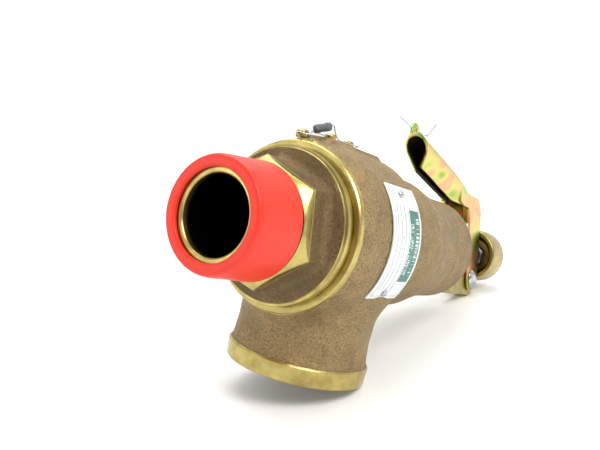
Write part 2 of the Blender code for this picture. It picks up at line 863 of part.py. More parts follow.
def cap_set_screw(name, turn, parent):
    """Set screw through the cap's skirt onto the neck's spigot."""
    profile = [
        (0.0, CAP_R + 0.4),
        (CAP_SCREW_R, CAP_R + 0.4),
        (CAP_SCREW_R, COLLAR_R + 1.2),
        (0.8, COLLAR_R + GAP),
        (0.0, COLLAR_R + GAP),
    ]
    screw = turned(name, profile, parent, "steel", 16)
    return place(screw, (0, 0, CAP_SCREW_Z), (math.pi / 2, 0, math.radians(turn)))


def sheet_section(half_width, crown, lip, near, far):
    """Section of the folded sheet as (sideways, outward) points: over the round crown from the
    near lip to the far lip, then back along the inside. The lips stand at different heights."""
    radius = half_width - SHEET / 2
    sides = []
    for side, height in ((1, near), (-1, far)):
        drop = Vector((lip, height - crown))
        turn = math.atan2(drop.y, drop.x) + math.acos(min(radius / drop.length, 1.0))
        normal = Vector((side * math.cos(turn), math.sin(turn)))
        sides.append((Vector((side * lip, height)), normal, math.degrees(turn)))
    (near_lip, near_normal, start), (far_lip, far_normal, end) = sides
    half = SHEET / 2
    outer = arc((0.0, crown), radius + half, start, 180 - end, 12)
    inner = arc((0.0, crown), radius - half, 180 - end, start, 12)
    lips = [near_lip + half * near_normal, far_lip + half * far_normal]
    lips += [far_lip - half * far_normal, near_lip - half * near_normal]
    return [lips[0], *outer, lips[1], lips[2], *inner, lips[3]]


def handle(name, parent, look):
    """Handle: sheet folded nearly shut at its slanted open end, opening to a channel at the bend.
    Each row gives the distance along it, half width, crown, lip and the heights of the lips."""
    rows = [
        (0.0, 8.0, 13.4, 1.4, 2.4, 0.0),
        (16.0, 8.0, 13.4, 1.5, 2.2, 0.0),
        (38.0, 8.0, 13.3, 1.7, 1.6, 0.0),
        (58.0, 7.9, 13.0, 2.4, 0.8, 0.4),
        (74.0, 7.9, 11.2, 6.7, 2.0, 3.0),
        (90.0, 7.9, 7.0, 6.9, 4.4, 4.4),
    ]
    along = Vector((0, math.sin(HANDLE_SLOPE), math.cos(HANDLE_SLOPE)))
    outward = Vector((0, -math.cos(HANDLE_SLOPE), math.sin(HANDLE_SLOPE)))
    start = Vector((0, -HANDLE_SEAM, HANDLE_END_Z))
    rings = []
    for distance, half_width, crown, lip, near, far in rows:
        slant = HANDLE_SLANT * max(1.0 - distance / 30.0, 0.0)
        ring = []
        for u, v in sheet_section(half_width, crown, lip, near, far):
            ring.append(start + along * (distance - slant * v) + outward * v + Vector((u, 0, 0)))
        rings.append(ring)
    return loft(name, rings, parent, look)


def prong_outline():
    """Side of the lever: the end of the handle, the bend and the prong down to the pivot."""
    bend = arc((-30.0, PRONG_BACK_Z - 13.0), 13.0, 180, 90, 6)
    eye = arc((PIVOT_Y + 0.6, PIVOT_Z), 8.4, 0, -90, 6)
    notch = arc((-29.4, 281.0), 4.6, 90, 180, 4)
    return [
        (-45.8, 264.0),
        *bend,
        (PIVOT_Y + 2.4, PRONG_BACK_Z),
        (PIVOT_Y + 7.4, PRONG_BACK_Z - 4.5),
        *eye,
        (8.0, 289.4),
        (-23.0, 287.6),
        *notch,
        (-34.2, 272.0),
        (-37.0, 264.0),
    ]


def web_outline():
    """Strip that bridges the two sides, round the outside of the bend."""
    outer = arc((-30.0, PRONG_BACK_Z - 13.0), 12.8, 180, 90, 6)
    inner = arc((-30.0, PRONG_BACK_Z - 13.0), 12.8 - SHEET, 90, 180, 6)
    back = PRONG_BACK_Z - 0.2
    return [(-44.4, 277.0), *outer, (-24.0, back), (-24.0, back - SHEET), *inner, (-42.4, 277.0)]


def lever(parent):
    """Pressed steel lever: folded handle, bend, and two prongs astride the spindle."""
    made = handle("lever", parent, "yellow_zinc")
    near = plate("near_prong", prong_outline(), PRONG_IN, PRONG_OUT, parent)
    far = plate("far_prong", prong_outline(), -PRONG_OUT, -PRONG_IN, parent)
    web = plate("bend_web", web_outline(), -PRONG_OUT + 0.3, PRONG_OUT - 0.3, parent)
    ear_y, ear_z = EAR_HOLE
    tip = arc((ear_y + 1.4, ear_z), 6.0, -90, -270, 8)
    ear_outline = [(-62.0, ear_z + 6.0), (-62.0, ear_z - 6.0), *tip]
    ear = plate("wire_ear", ear_outline, -7.4, -5.6, parent)
    join(made, near, far, web, ear)
    ear_hole = prism("ear_hole", 1.5, -12.0, 0.0, parent, sides=16)
    place(ear_hole, (0, ear_y, ear_z), (0, math.pi / 2, 0))
    pin_hole = prism("prong_hole", PIVOT_R + GAP, -20.0, 20.0, parent, sides=FINE_STEPS)
    place(pin_hole, (0, PIVOT_Y, PIVOT_Z), (0, math.pi / 2, 0))
    return cut(made, ear_hole, pin_hole)


def lift_knob(parent):
    """Cup-shaped knob screwed on the spindle, hollow towards the lever."""
    floor = KNOB_Z + 11.0
    profile = [
        (SPINDLE_R + GAP, KNOB_TOP_Z - 2.0),
        (8.0, KNOB_TOP_Z - 2.0),
        (8.6, KNOB_TOP_Z),
        (15.0, KNOB_TOP_Z),
        (18.6, KNOB_TOP_Z - 1.6),
        (KNOB_R, KNOB_TOP_Z - 5.0),
        (KNOB_R, KNOB_Z + 1.0),
        (KNOB_R - 1.0, KNOB_Z),
        (KNOB_RIM_R + 0.8, KNOB_Z),
        (KNOB_RIM_R, KNOB_Z + 0.8),
        (KNOB_RIM_R - 1.4, floor - 2.0),
        (KNOB_RIM_R - 3.4, floor),
        (SPINDLE_R + GAP, floor),
    ]
    return turned("lift_knob", profile, parent, "brass")


def pivot_pin(parent):
    """Headed pin through the lever's prongs and the cap's lug, lying along X."""
    head = PRONG_OUT + GAP
    profile = [
        (0.0, head + 2.8),
        (3.0, head + 2.6),
        (6.4, head + 1.6),
        (8.0, head + 0.4),
        (8.0, head),
        (PIVOT_R, head),
        (PIVOT_R, -15.0),
        (PIVOT_R - 0.6, -15.6),
        (0.0, -15.6),
    ]
    pin = turned("pivot_pin", profile, parent, "bright_zinc", FINE_STEPS)
    place(pin, (0, PIVOT_Y, PIVOT_Z), (0, math.pi / 2, 0))
    hole = prism("split_pin_hole", 1.1, -8.0, 8.0, parent, sides=12)
    place(hole, (SPLIT_PIN_X, PIVOT_Y, PIVOT_Z), (0, 0, 0))
    return cut(pin, hole)


def pivot_washer(parent):
    low = PRONG_OUT + GAP
    look = ("bright_zinc", FINE_STEPS, 0.3)
    ring = washer("pivot_washer", 7.0, PIVOT_R + GAP, low, low + 1.4, parent, *look)
    return place(ring, (0, PIVOT_Y, PIVOT_Z), (0, -math.pi / 2, 0))


def split_pin(parent):
    """Split pin through the pivot pin: eye at one end, the legs spread at the other."""
    eye = [(x, y) for x, y in arc((0.0, 6.6), 1.9, -60, 240, 8)]
    route = [(SPLIT_PIN_X + x, PIVOT_Y, PIVOT_Z + z) for x, z in reversed(eye)]
    route += [(SPLIT_PIN_X, PIVOT_Y, PIVOT_Z + 4.2), (SPLIT_PIN_X, PIVOT_Y, PIVOT_Z - 4.6)]
    route += [(SPLIT_PIN_X - 1.2, PIVOT_Y, PIVOT_Z - 6.0), (SPLIT_PIN_X - 2.0, PIVOT_Y, PIVOT_Z - 8.4)]
    return wire("split_pin", route[3:], 0.7, parent, "bright_zinc")


# ---------------------------------------------------------------- lock screws, wire and plate



def lock_screw(name, parent):
    """Fillister-head screw, its head drilled for the seal wire, pointing at the axis."""
    turn, z, seat, tip = LOCK_SCREWS[name]
    top = seat + LOCK_SCREW_HEAD
    profile = [
        (0.0, top + 0.5),
        (1.8, top + 0.4),
        (LOCK_SCREW_HEAD_R - 0.3, top - 0.2),
        (LOCK_SCREW_HEAD_R, top - 0.8),
        (LOCK_SCREW_HEAD_R, seat),
        (LOCK_SCREW_SHANK_R, seat),
        (LOCK_SCREW_SHANK_R, tip + 2.0),
        (1.0, tip),
        (0.0, tip),
    ]
    screw = turned(name, profile, parent, "brass", FINE_STEPS)
    place(screw, (0, 0, z), (-math.pi / 2, 0, math.radians(turn)))
    slot = box(name + "_slot", (-6.0, -0.5, top - 0.9), (6.0, 0.5, top + 2.0), screw)
    hole = prism(name + "_drill", 0.8, -6.0, 6.0, screw, sides=10)
    place(hole, (0, 0, seat + WIRE_HEIGHT), (math.pi / 2, 0, 0))
    return cut(screw, slot, hole)


def on_pad(name, height, along=0.0):
    """Point over a lock screw: height above the pad, and a shift along the valve's axis."""
    turn, z, seat, _tip = LOCK_SCREWS[name]
    a = math.radians(turn)
    distance = seat + height
    return Vector((-distance * math.sin(a), distance * math.cos(a), z + along))


def seal_wire(parent):
    """One wire through the three drilled heads, from the lead seal and back to it."""
    first, second, third = LOCK_SCREWS
    slug = Vector(LEAD_SEAL)
    start = slug - 4.75 * LEAD_SEAL_ALONG
    end = slug + 4.75 * LEAD_SEAL_ALONG
    outward = Vector((1.0, 0.0, 0.0))
    route = [start, start - 1.0 * LEAD_SEAL_ALONG, on_pad(first, WIRE_HEIGHT, -1.0) + 4.4 * outward]
    route += [on_pad(first, WIRE_HEIGHT, -5.0) + 2.2 * outward]
    route += [on_pad(first, WIRE_HEIGHT, -4.0), on_pad(first, WIRE_HEIGHT, 4.0), on_pad(first, 4.0, 6.8)]
    for name in (second, third):
        route += [on_pad(name, WIRE_HEIGHT, -4.0), on_pad(name, WIRE_HEIGHT, 4.0)]
    route += [on_pad(third, 1.8, 5.0) + 2.6 * outward, on_pad(third, 1.6, 0.0) + 4.6 * outward]
    route += [on_pad(second, 1.6, 0.0) + 4.8 * outward, end + 1.2 * LEAD_SEAL_ALONG, end]
    return wire("seal_wire", smooth_route(route, 5), 0.4, parent, "bright_zinc")


def lead_seal(parent):
    """Crimped lead slug that closes the wire, lying on the pad between two screw heads."""
    profile = [
        (0.0, 4.3),
        (1.6, 4.3),
        (2.1, 3.7),
        (2.3, 1.4),
        (2.1, 0.0),
        (2.3, -1.4),
        (2.1, -3.7),
        (1.6, -4.3),
        (0.0, -4.3),
    ]
    slug = turned("lead_seal", profile, parent, "lead", FINE_STEPS)
    return place(slug, LEAD_SEAL, LEAD_SEAL_ALONG.to_track_quat("Z", "Y").to_euler())


def curved_plate(name, radius, thickness, low, high, start, end, parent, look):
    """Plate bent round the valve's axis, between two heights and two angles from +X."""
    count = 20
    rings = []
    for r, z in ((radius, low), (radius, high), (radius + thickness, high), (radius + thickness, low)):
        ring = []
        for i in range(count + 1):
            a = math.radians(start + (end - start) * i / count)
            ring.append((r * math.cos(a), r * math.sin(a), z))
        rings.append(ring)
    mesh = bpy.data.meshes.new(name)
    shape = bmesh.new()
    rows = [[shape.verts.new([c * MM for c in point]) for point in ring] for ring in rings]
    for low_row, high_row in zip(rows, rows[1:] + rows[:1]):
        for i in range(count):
            shape.faces.new((low_row[i], low_row[i + 1], high_row[i + 1], high_row[i]))
    for i in (0, count):
        shape.faces.new([row[i] for row in rows])
    bmesh.ops.recalc_face_normals(shape, faces=shape.faces)
    shape.to_mesh(mesh)
    shape.free()
    return finish(bpy.data.objects.new(name, mesh), parent, look)


def nameplate(parent):
    edges = (PLATE_LOW, PLATE_HIGH, PLATE_START, PLATE_END)
    return curved_plate("nameplate", BARREL_R + GAP, 0.8, *edges, parent, "plate")


def nameplate_screw(name, turn, parent):
    """Round-head drive screw standing on the plate."""
    base = BARREL_R + 2 * GAP + 0.8
    profile = [
        (0.0, base + 1.1),
        (0.9, base + 0.95),
        (PLATE_SCREW_R, base + 0.3),
        (PLATE_SCREW_R, base),
        (0.0, base),
    ]
    screw = turned(name, profile, parent, "steel", 16)
    return place(screw, (0, 0, PLATE_SCREW_Z), (0, math.pi / 2, math.radians(turn)))


def lever_wire(parent):
    """Thin tie wire left through the hole in the lever's ear."""
    ear_y, ear_z = EAR_HOLE
    points = [
        (-15.0, ear_y - 8.0, ear_z - 7.0),
        (-10.5, ear_y - 3.4, ear_z - 2.4),
        (-7.4, ear_y, ear_z),
        (-5.0, ear_y + 0.2, ear_z + 0.2),
        (-1.0, ear_y + 3.0, ear_z + 1.0),
        (3.6, ear_y + 4.0, ear_z - 1.4),
        (7.0, ear_y + 2.0, ear_z - 4.4),
        (11.0, ear_y - 1.6, ear_z - 7.0),
    ]
    return wire("lever_wire", smooth_route(points, 3), 0.3, parent, "bright_zinc")


# ---------------------------------------------------------------- assembly


def build():
    root = rest_frame()
    cap_frame = empty("cap_frame", root, rotation=(0, 0, CAP_TURN))
    lever_pivot = empty("lever_pivot", cap_frame, (0, PIVOT_Y, PIVOT_Z))
    lever_frame = empty("lever_frame", lever_pivot, (0, -PIVOT_Y, -PIVOT_Z))
    moving = empty("spindle_line", root)

    thread_protector(root)
    inlet_nozzle(root)
    body(root)
    nozzle_ring(root)
    guide(root)
    guide_ring(root)
    spring(root)
    upper_spring_washer(root)
    compression_screw(root)
    hex_nut("jam_nut", 34.0, COMPRESSION_R + GAP, COLLAR_TOP_Z + GAP, COLLAR_TOP_Z + 7.5, root, "steel")
    for name in LOCK_SCREWS:
        lock_screw(name, root)
    seal_wire(root)
    lead_seal(root)
    nameplate(root)
    for number, turn in enumerate(PLATE_SCREW_TURNS, 1):
        nameplate_screw("nameplate_screw_%d" % number, turn, root)

    seat_disc(moving)
    disc_holder(moving)
    spindle(moving)
    lower_spring_washer(moving)
    lift_knob(moving)
    hex_nut("knob_lock_nut", 17.0, SPINDLE_R + GAP, KNOB_Z + 4.4, KNOB_Z + 11.0 - GAP, moving, "steel")

    lever_cap(cap_frame)
    for number, turn in enumerate(CAP_SCREW_TURNS, 1):
        cap_set_screw("cap_set_screw_%d" % number, turn, cap_frame)
    pivot_pin(cap_frame)
    pivot_washer(cap_frame)
    split_pin(cap_frame)
    lever(lever_frame)
    lever_wire(lever_frame)
    centre_over_origin(root)


build()
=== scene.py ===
"""Looks of a side-outlet safety relief valve that lies on a pale studio floor.

Every piece is made in the valve's own upright frame in millimetres (+Z from the inlet to the lift
knob, +Y to the outlet, +X to the nameplate) and then laid down by one matrix read from the record.
"""

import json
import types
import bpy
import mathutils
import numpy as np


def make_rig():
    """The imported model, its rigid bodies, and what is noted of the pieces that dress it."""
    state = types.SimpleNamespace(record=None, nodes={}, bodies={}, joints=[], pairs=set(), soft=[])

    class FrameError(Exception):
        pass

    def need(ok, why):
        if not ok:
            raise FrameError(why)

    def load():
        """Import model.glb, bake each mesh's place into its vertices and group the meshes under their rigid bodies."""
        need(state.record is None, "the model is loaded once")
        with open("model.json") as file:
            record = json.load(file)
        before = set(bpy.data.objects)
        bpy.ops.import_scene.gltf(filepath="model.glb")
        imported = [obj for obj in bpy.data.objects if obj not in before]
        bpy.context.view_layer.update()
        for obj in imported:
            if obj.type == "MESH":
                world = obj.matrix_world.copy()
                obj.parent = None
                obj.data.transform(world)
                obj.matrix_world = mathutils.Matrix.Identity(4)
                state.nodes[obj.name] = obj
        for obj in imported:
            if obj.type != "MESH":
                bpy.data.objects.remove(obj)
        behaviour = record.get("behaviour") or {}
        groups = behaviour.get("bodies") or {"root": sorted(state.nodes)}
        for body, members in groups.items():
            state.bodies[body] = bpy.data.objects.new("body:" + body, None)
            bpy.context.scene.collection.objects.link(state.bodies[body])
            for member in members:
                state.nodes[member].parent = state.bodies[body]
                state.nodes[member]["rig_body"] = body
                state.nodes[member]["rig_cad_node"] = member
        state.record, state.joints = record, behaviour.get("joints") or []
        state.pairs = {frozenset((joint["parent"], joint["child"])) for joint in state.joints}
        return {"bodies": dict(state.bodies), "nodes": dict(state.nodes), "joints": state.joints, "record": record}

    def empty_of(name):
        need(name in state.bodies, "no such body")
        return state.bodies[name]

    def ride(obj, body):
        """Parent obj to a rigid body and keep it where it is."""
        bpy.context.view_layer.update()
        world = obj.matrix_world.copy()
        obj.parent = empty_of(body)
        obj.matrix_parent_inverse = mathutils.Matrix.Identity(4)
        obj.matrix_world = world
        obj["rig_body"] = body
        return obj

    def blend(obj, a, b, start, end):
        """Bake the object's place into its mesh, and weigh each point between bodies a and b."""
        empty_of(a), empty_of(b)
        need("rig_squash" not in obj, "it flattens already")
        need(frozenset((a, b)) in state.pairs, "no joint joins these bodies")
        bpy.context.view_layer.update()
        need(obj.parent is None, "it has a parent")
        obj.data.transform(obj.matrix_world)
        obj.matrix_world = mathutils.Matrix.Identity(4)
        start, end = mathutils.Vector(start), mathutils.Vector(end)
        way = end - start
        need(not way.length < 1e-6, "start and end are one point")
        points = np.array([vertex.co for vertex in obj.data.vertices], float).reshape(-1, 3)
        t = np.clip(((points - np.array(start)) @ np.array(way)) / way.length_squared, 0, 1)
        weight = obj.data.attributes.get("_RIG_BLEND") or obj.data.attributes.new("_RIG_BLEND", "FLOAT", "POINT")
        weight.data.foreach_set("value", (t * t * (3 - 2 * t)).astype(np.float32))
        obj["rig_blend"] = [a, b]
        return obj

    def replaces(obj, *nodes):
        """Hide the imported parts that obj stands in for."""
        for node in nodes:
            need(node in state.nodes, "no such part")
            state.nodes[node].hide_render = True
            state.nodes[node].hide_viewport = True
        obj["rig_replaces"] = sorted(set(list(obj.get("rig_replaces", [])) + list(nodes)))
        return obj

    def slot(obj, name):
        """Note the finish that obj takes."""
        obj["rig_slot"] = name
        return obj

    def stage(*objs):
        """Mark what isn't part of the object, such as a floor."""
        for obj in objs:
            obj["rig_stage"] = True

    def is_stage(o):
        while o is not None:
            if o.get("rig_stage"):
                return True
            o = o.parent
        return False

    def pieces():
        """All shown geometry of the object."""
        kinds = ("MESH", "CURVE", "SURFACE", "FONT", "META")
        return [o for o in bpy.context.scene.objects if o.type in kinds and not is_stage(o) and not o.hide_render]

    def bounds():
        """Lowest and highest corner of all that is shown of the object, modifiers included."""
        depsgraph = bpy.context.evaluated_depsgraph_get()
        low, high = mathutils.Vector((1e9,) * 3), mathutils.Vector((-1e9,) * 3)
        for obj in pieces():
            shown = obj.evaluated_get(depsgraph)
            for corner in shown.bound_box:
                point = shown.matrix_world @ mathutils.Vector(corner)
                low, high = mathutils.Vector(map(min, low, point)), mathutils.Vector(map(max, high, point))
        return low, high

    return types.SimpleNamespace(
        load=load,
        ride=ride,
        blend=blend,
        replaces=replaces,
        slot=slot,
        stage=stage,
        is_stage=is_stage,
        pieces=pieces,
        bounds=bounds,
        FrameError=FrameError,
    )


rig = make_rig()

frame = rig.load()

import json
import math

import bmesh
import bpy
import numpy as np
from mathutils import Matrix, Vector, noise

CAD_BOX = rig.bounds()

MM = 0.001
GAP = 0.3
EASED = 0.4  # arc radius of a machined corner that has none of its own
INLET_Z = 2.3

# Shapes that the CAD model fixes, in millimetres
HEX_FLATS = 52.2
HEX_TURN = math.radians(-9.0)
HEX_Z = 29.2
FLANGE_Z = 45.2
FLANGE_TOP_Z = 50.8
FLANGE_R = 37.0
BODY_Z = 51.1
BODY_RING_R = 40.2
BARREL_R = 43.2
BARREL_TOP_Z = 113.0
WAIST_R = 37.8
NECK_R = 32.4
NECK_TOP_Z = 226.5
OUTLET_Z = 90.9
OUTLET_FACE = 70.4
OUTLET_COLLAR = 61.4
OUTLET_RIM_R = 35.8
CAP_TURN = math.radians(-10.0)
SPRING_LOW_Z = 136.0  # just above the coil's first, closed turn
SPRING_HIGH_Z = 190.0  # just below its last one
CAP_SHOULDER_Z = 245.0
CAP_NOSE_R = 17.0
CAP_ROOF_Z = 261.0
CAP_TOP_Z = 267.0
PIVOT_Y = 19.2
PIVOT_Z = 300.4
KNOB_Z = 312.8
KNOB_TOP_Z = 343.0
KNOB_R = 20.4
SHEET = 2.0
WIRE_HEIGHT = 1.7  # over a lock screw's seat, where its head is drilled
THREAD_PITCH = 2.21
LOCK_SCREWS = {  # turn from the outlet, height, then seat and tip from the axis
    "nozzle_lock_screw": (174.9, 55.2, 41.9, 33.3),
    "nozzle_ring_screw": (178.1, 75.8, 44.2, 26.3),
    "guide_ring_screw": (178.7, 93.0, 44.2, 27.9),
}
LEAD_SEAL = Vector((2.5, -48.2, 60.9))
LEAD_SEAL_ALONG = Vector((0.5, -0.4, 0.76)).normalized()
PLATE_LOW, PLATE_HIGH = 76.5, 108.0
PLATE_START, PLATE_END = -43.0, 33.0
PLATE_THICK = 0.8
EAR_HOLE = (-77.0, 205.5)
HANDLE_SLOPE = math.radians(12.5)
HANDLE_START = Vector((0, -48.3, 201.5))
HANDLE_LENGTH = 90.0
HANDLE_ALONG = Vector((0, math.sin(HANDLE_SLOPE), math.cos(HANDLE_SLOPE)))
HANDLE_OUT = Vector((0, -math.cos(HANDLE_SLOPE), math.sin(HANDLE_SLOPE)))
CAMERA_AT = Vector((170.42, -16.34, -197.05))
CAMERA_RIGHT = Vector((0.8098, -0.2306, 0.5395))
CAMERA_AHEAD = Vector((-0.5445, 0.0474, 0.8374))
DARK_SIDE = (0.52, -0.80, 0.10)  # the studio's unlit side, which polished metal reflects as shade


def valve_matrix():
    """From the valve's upright frame in millimetres to the row frame in metres."""
    mounts = {m["name"]: m for m in frame["record"]["mounts"]}
    joints = {j["name"]: j for j in frame["joints"]}
    along = Vector(joints["spindle_lift"]["axis"]).normalized()
    out = Vector(mounts["outlet_face"]["axis"])
    out = (out - out.dot(along) * along).normalized()
    side = out.cross(along)
    start = Vector(mounts["inlet_connection"]["pos_m"]) - along * INLET_Z * MM
    turn = Matrix((side, out, along)).transposed()
    return Matrix.Translation(start) @ turn.to_4x4() @ Matrix.Scale(MM, 4)


def placed(at, *turns):
    """Turns about named axes in degrees, the last one first, then a move to a point."""
    made = Matrix.Translation(at)
    for axis, degrees in turns:
        made = made @ Matrix.Rotation(math.radians(degrees), 4, axis)
    return made


VALVE = valve_matrix()
CAP = VALVE @ Matrix.Rotation(CAP_TURN, 4, "Z")
LAID_PIVOT = placed((0, PIVOT_Y, PIVOT_Z), ("Y", 90))


# ---------------------------------------------------------------- materials


class Nodes:
    """Short ways to build a node tree. Any input takes a plain value or another node's socket."""

    def __init__(self, tree):
        self.tree = tree

    def node(self, kind, *inputs, named=None, **settings):
        made = self.tree.nodes.new(kind)
        for key, value in settings.items():
            setattr(made, key, value)
        for at, value in enumerate(inputs):
            self.feed(made.inputs[at], value)
        for key, value in (named or {}).items():
            self.feed(made.inputs[key], value)
        return made

    def feed(self, socket, value):
        if value is None:
            return
        if isinstance(value, bpy.types.NodeSocket):
            self.tree.links.new(value, socket)
        elif isinstance(value, tuple) and len(value) == 3 and socket.type == "RGBA":
            socket.default_value = (*value, 1.0)
        else:
            socket.default_value = value

    def math(self, operation, a, b=None, clamp=False):
        return self.node("ShaderNodeMath", a, b, operation=operation, use_clamp=clamp).outputs[0]

    def times(self, a, b):
        return self.math("MULTIPLY", a, b)

    def plus(self, a, b):
        return self.math("ADD", a, b)

    def either(self, first, *rest):
        for mask in rest:
            first = self.math("MAXIMUM", first, mask)
        return first

    def step(self, value, low, high, below=0.0, above=1.0):
        """One number below low and another above high, smooth between. Low above high turns it over."""
        ends = (low, high, below, above) if low < high else (high, low, above, below)
        return self.node("ShaderNodeMapRange", value, *ends, interpolation_type="SMOOTHSTEP").outputs[0]


class Paint(Nodes):
    """A Principled material built from nodes, with coordinates in the valve's own millimetres."""

    def __init__(self, name, metallic=0.0, roughness=0.5):
        self.material = bpy.data.materials.new(name)
        self.material.use_nodes = True
        super().__init__(self.material.node_tree)
        self.shader = self.tree.nodes["Principled BSDF"]
        self.set("Metallic", metallic)
        self.set("Roughness", roughness)
        self._space = None

    def set(self, name, value):
        self.feed(self.shader.inputs[name], value)

    def over(self, colour, mask, share, top):
        """Colour with another laid over it where the mask is 1."""
        return self.mix(self.times(mask, share), colour, top)

    def space(self):
        """Upright millimetre coordinates from the object's own coordinates."""
        if self._space is None:
            coords = self.node("ShaderNodeTexCoord").outputs["Object"]
            place, turn, _ = VALVE.decompose()
            fit = {"Location": place, "Rotation": turn.to_euler(), "Scale": (MM, MM, MM)}
            mapping = self.node("ShaderNodeMapping", coords, named=fit, vector_type="TEXTURE")
            self._space = mapping.outputs[0]
        return self._space

    def axes(self):
        split = self.node("ShaderNodeSeparateXYZ", self.space())
        return split.outputs[0], split.outputs[1], split.outputs[2]

    def stretched(self, scale):
        return self.node("ShaderNodeVectorMath", self.space(), scale, operation="MULTIPLY").outputs[0]

    def noise(self, size, detail=4.0, roughness=0.6, at=None, distortion=0.0):
        """Noise between 0 and 1 whose lumps are about size millimetres across."""
        named = {"Scale": 1.0 / size, "Detail": detail, "Roughness": roughness, "Distortion": distortion}
        return self.node("ShaderNodeTexNoise", at or self.space(), named=named).outputs["Fac"]

    def ramp(self, value, stops):
        made = self.node("ShaderNodeValToRGB", value)
        points = made.color_ramp.elements
        while len(points) < len(stops):
            points.new(0.5)
        for point, (at, colour) in zip(points, stops):
            point.position = at
            point.color = (*colour, 1.0)
        return made.outputs["Color"]

    def mix(self, share, a, b):
        made = self.node("ShaderNodeMix", data_type="RGBA", clamp_factor=True)
        self.feed(made.inputs[0], share)
        self.feed(made.inputs[6], a)
        self.feed(made.inputs[7], b)
        return made.outputs[2]

    def blend(self, share, a, b):
        """A number that goes from a to b as share goes from 0 to 1."""
        made = self.node("ShaderNodeMix", data_type="FLOAT", clamp_factor=True)
        self.feed(made.inputs[0], share)
        self.feed(made.inputs[2], a)
        self.feed(made.inputs[3], b)
        return made.outputs[0]

    def bump(self, height, distance, under=None):
        named = {"Height": height, "Distance": distance * MM, "Normal": under}
        return self.node("ShaderNodeBump", named=named).outputs["Normal"]

    def turning(self, value, pitch):
        """Fine lathe lines: noise that changes along one coordinate only."""
        spot = self.node("ShaderNodeCombineXYZ", value, 0.0, 0.0).outputs[0]
        return self.noise(pitch, 2.0, 0.5, at=spot)


def radius_from(paint, a, b):
    return paint.math("SQRT", paint.plus(paint.times(a, a), paint.times(b, b)))


def edge_highlight_bands(paint, rubs):
    """Painted highlight: pale bands, broken up by rubs, on the body's shoulders and rim round its axis, where these
    edges catch the light.
    """
    x, y, z = paint.axes()
    from_axis = radius_from(paint, x, y)
    bands = []
    for height, radius in ((112.0, 40.5), (153.5, 35.5), (225.0, 30.8)):
        near = paint.step(paint.math("ABSOLUTE", paint.math("SUBTRACT", z, height)), 2.8, 0.2)
        bands.append(paint.times(near, paint.step(from_axis, radius - 2.0, radius)))
    return paint.times(paint.either(*bands), paint.step(rubs, 0.48, 0.70))


def cast_colours(paint):
    """Brown skin of sand-cast bronze: patches, grains, pale rubs, painted highlights along the shoulders and dark
    pits.
    """
    patches = paint.noise(11.0, 5.0, 0.62, distortion=0.4)
    grains = paint.noise(0.9, 3.0, 0.7)
    browns = [(0.28, (0.205, 0.138, 0.060)), (0.50, (0.262, 0.184, 0.084))]
    colour = paint.ramp(patches, [*browns, (0.74, (0.330, 0.242, 0.118))])
    colour = paint.mix(paint.step(grains, 0.52, 0.74), colour, (0.47, 0.358, 0.180))
    colour = paint.mix(paint.step(grains, 0.47, 0.30), colour, (0.110, 0.066, 0.036))
    green = paint.step(paint.noise(26.0, 2.0, 0.5, at=paint.stretched((1.0, 1.3, 0.8))), 0.58, 0.74)
    colour = paint.over(colour, green, 0.55, (0.215, 0.215, 0.120))
    drifts = paint.noise(19.0, 4.0, 0.6, at=paint.stretched((1.2, 1.0, 0.7)), distortion=0.5)
    colour = paint.over(colour, paint.step(drifts, 0.56, 0.70), 0.5, (0.40, 0.245, 0.095))
    rubs = paint.noise(5.0, 6.0, 0.75, at=paint.stretched((1.0, 0.5, 0.35)), distortion=1.2)
    # Real rubs and painted highlight bands on the shoulders together: both are coloured pale bronze and made smoother
    # and more metallic.
    rubs_and_edge_highlights = paint.either(paint.step(rubs, 0.645, 0.725), edge_highlight_bands(paint, rubs))
    colour = paint.over(colour, rubs_and_edge_highlights, 0.60, (0.64, 0.49, 0.22))
    rough = paint.blend(rubs_and_edge_highlights, paint.blend(grains, 0.50, 0.66), 0.40)
    height = paint.plus(paint.times(grains, 0.7), paint.times(patches, 0.3))
    return colour, rough, height, rubs_and_edge_highlights


def brass_colours(paint, along, pitch=0.35):
    """Machined brass: lathe lines across one coordinate, faint stains and dark specks."""
    lines = paint.turning(along, pitch)
    stains = paint.noise(9.0, 4.0, 0.6)
    golds = [(0.28, (0.31, 0.245, 0.078)), (0.52, (0.465, 0.375, 0.125)), (0.76, (0.62, 0.51, 0.195))]
    colour = paint.ramp(stains, golds)
    colour = paint.over(colour, paint.step(lines, 0.55, 0.30), 0.35, (0.26, 0.19, 0.055))
    specks = paint.step(paint.noise(1.6, 5.0, 0.7), 0.30, 0.22)
    colour = paint.over(colour, specks, 0.8, (0.10, 0.06, 0.02))
    return colour, paint.blend(lines, 0.22, 0.40), lines


def metal_casting(name, machined, along, cast_metal=0.55, bore_shade=None, shade=0.0):
    """One casting with machined areas: machined(paint) is 1 where the surface is cut bright."""
    paint = Paint(name, metallic=0.6)
    x, y, z = paint.axes()
    cast, cast_rough, cast_height, rubs_and_edge_highlights = cast_colours(paint)
    if shade:
        cast = paint.mix(shade, cast, (0.060, 0.030, 0.010))
    brass, brass_rough, lines = brass_colours(paint, along(paint, x, y, z))
    bright = machined(paint, x, y, z)
    colour = paint.mix(bright, cast, brass)
    # Painted shade: where a mask is given, its area deep in a bore is coloured nearly black.
    if bore_shade is not None:
        colour = paint.mix(bore_shade(paint, x, y, z), colour, (0.018, 0.013, 0.009))
    paint.set("Base Color", colour)
    paint.set("Roughness", paint.blend(bright, cast_rough, brass_rough))
    paint.set("Metallic", paint.blend(bright, paint.blend(rubs_and_edge_highlights, cast_metal, 0.85), 1.0))
    paint.set("Specular IOR Level", 0.25)
    cast_only = paint.math("SUBTRACT", 1.0, bright, clamp=True)
    rough_skin = paint.bump(paint.times(cast_height, cast_only), 0.55)
    paint.set("Normal", paint.bump(paint.times(lines, bright), 0.03, under=rough_skin))
    return paint.material


def ragged(paint, size=2.5, depth=0.5):
    """A small wander, in millimetres, for the edge between cast skin and cut metal."""
    return paint.times(paint.math("SUBTRACT", paint.noise(size, 3.0, 0.6), 0.5), 2.0 * depth)


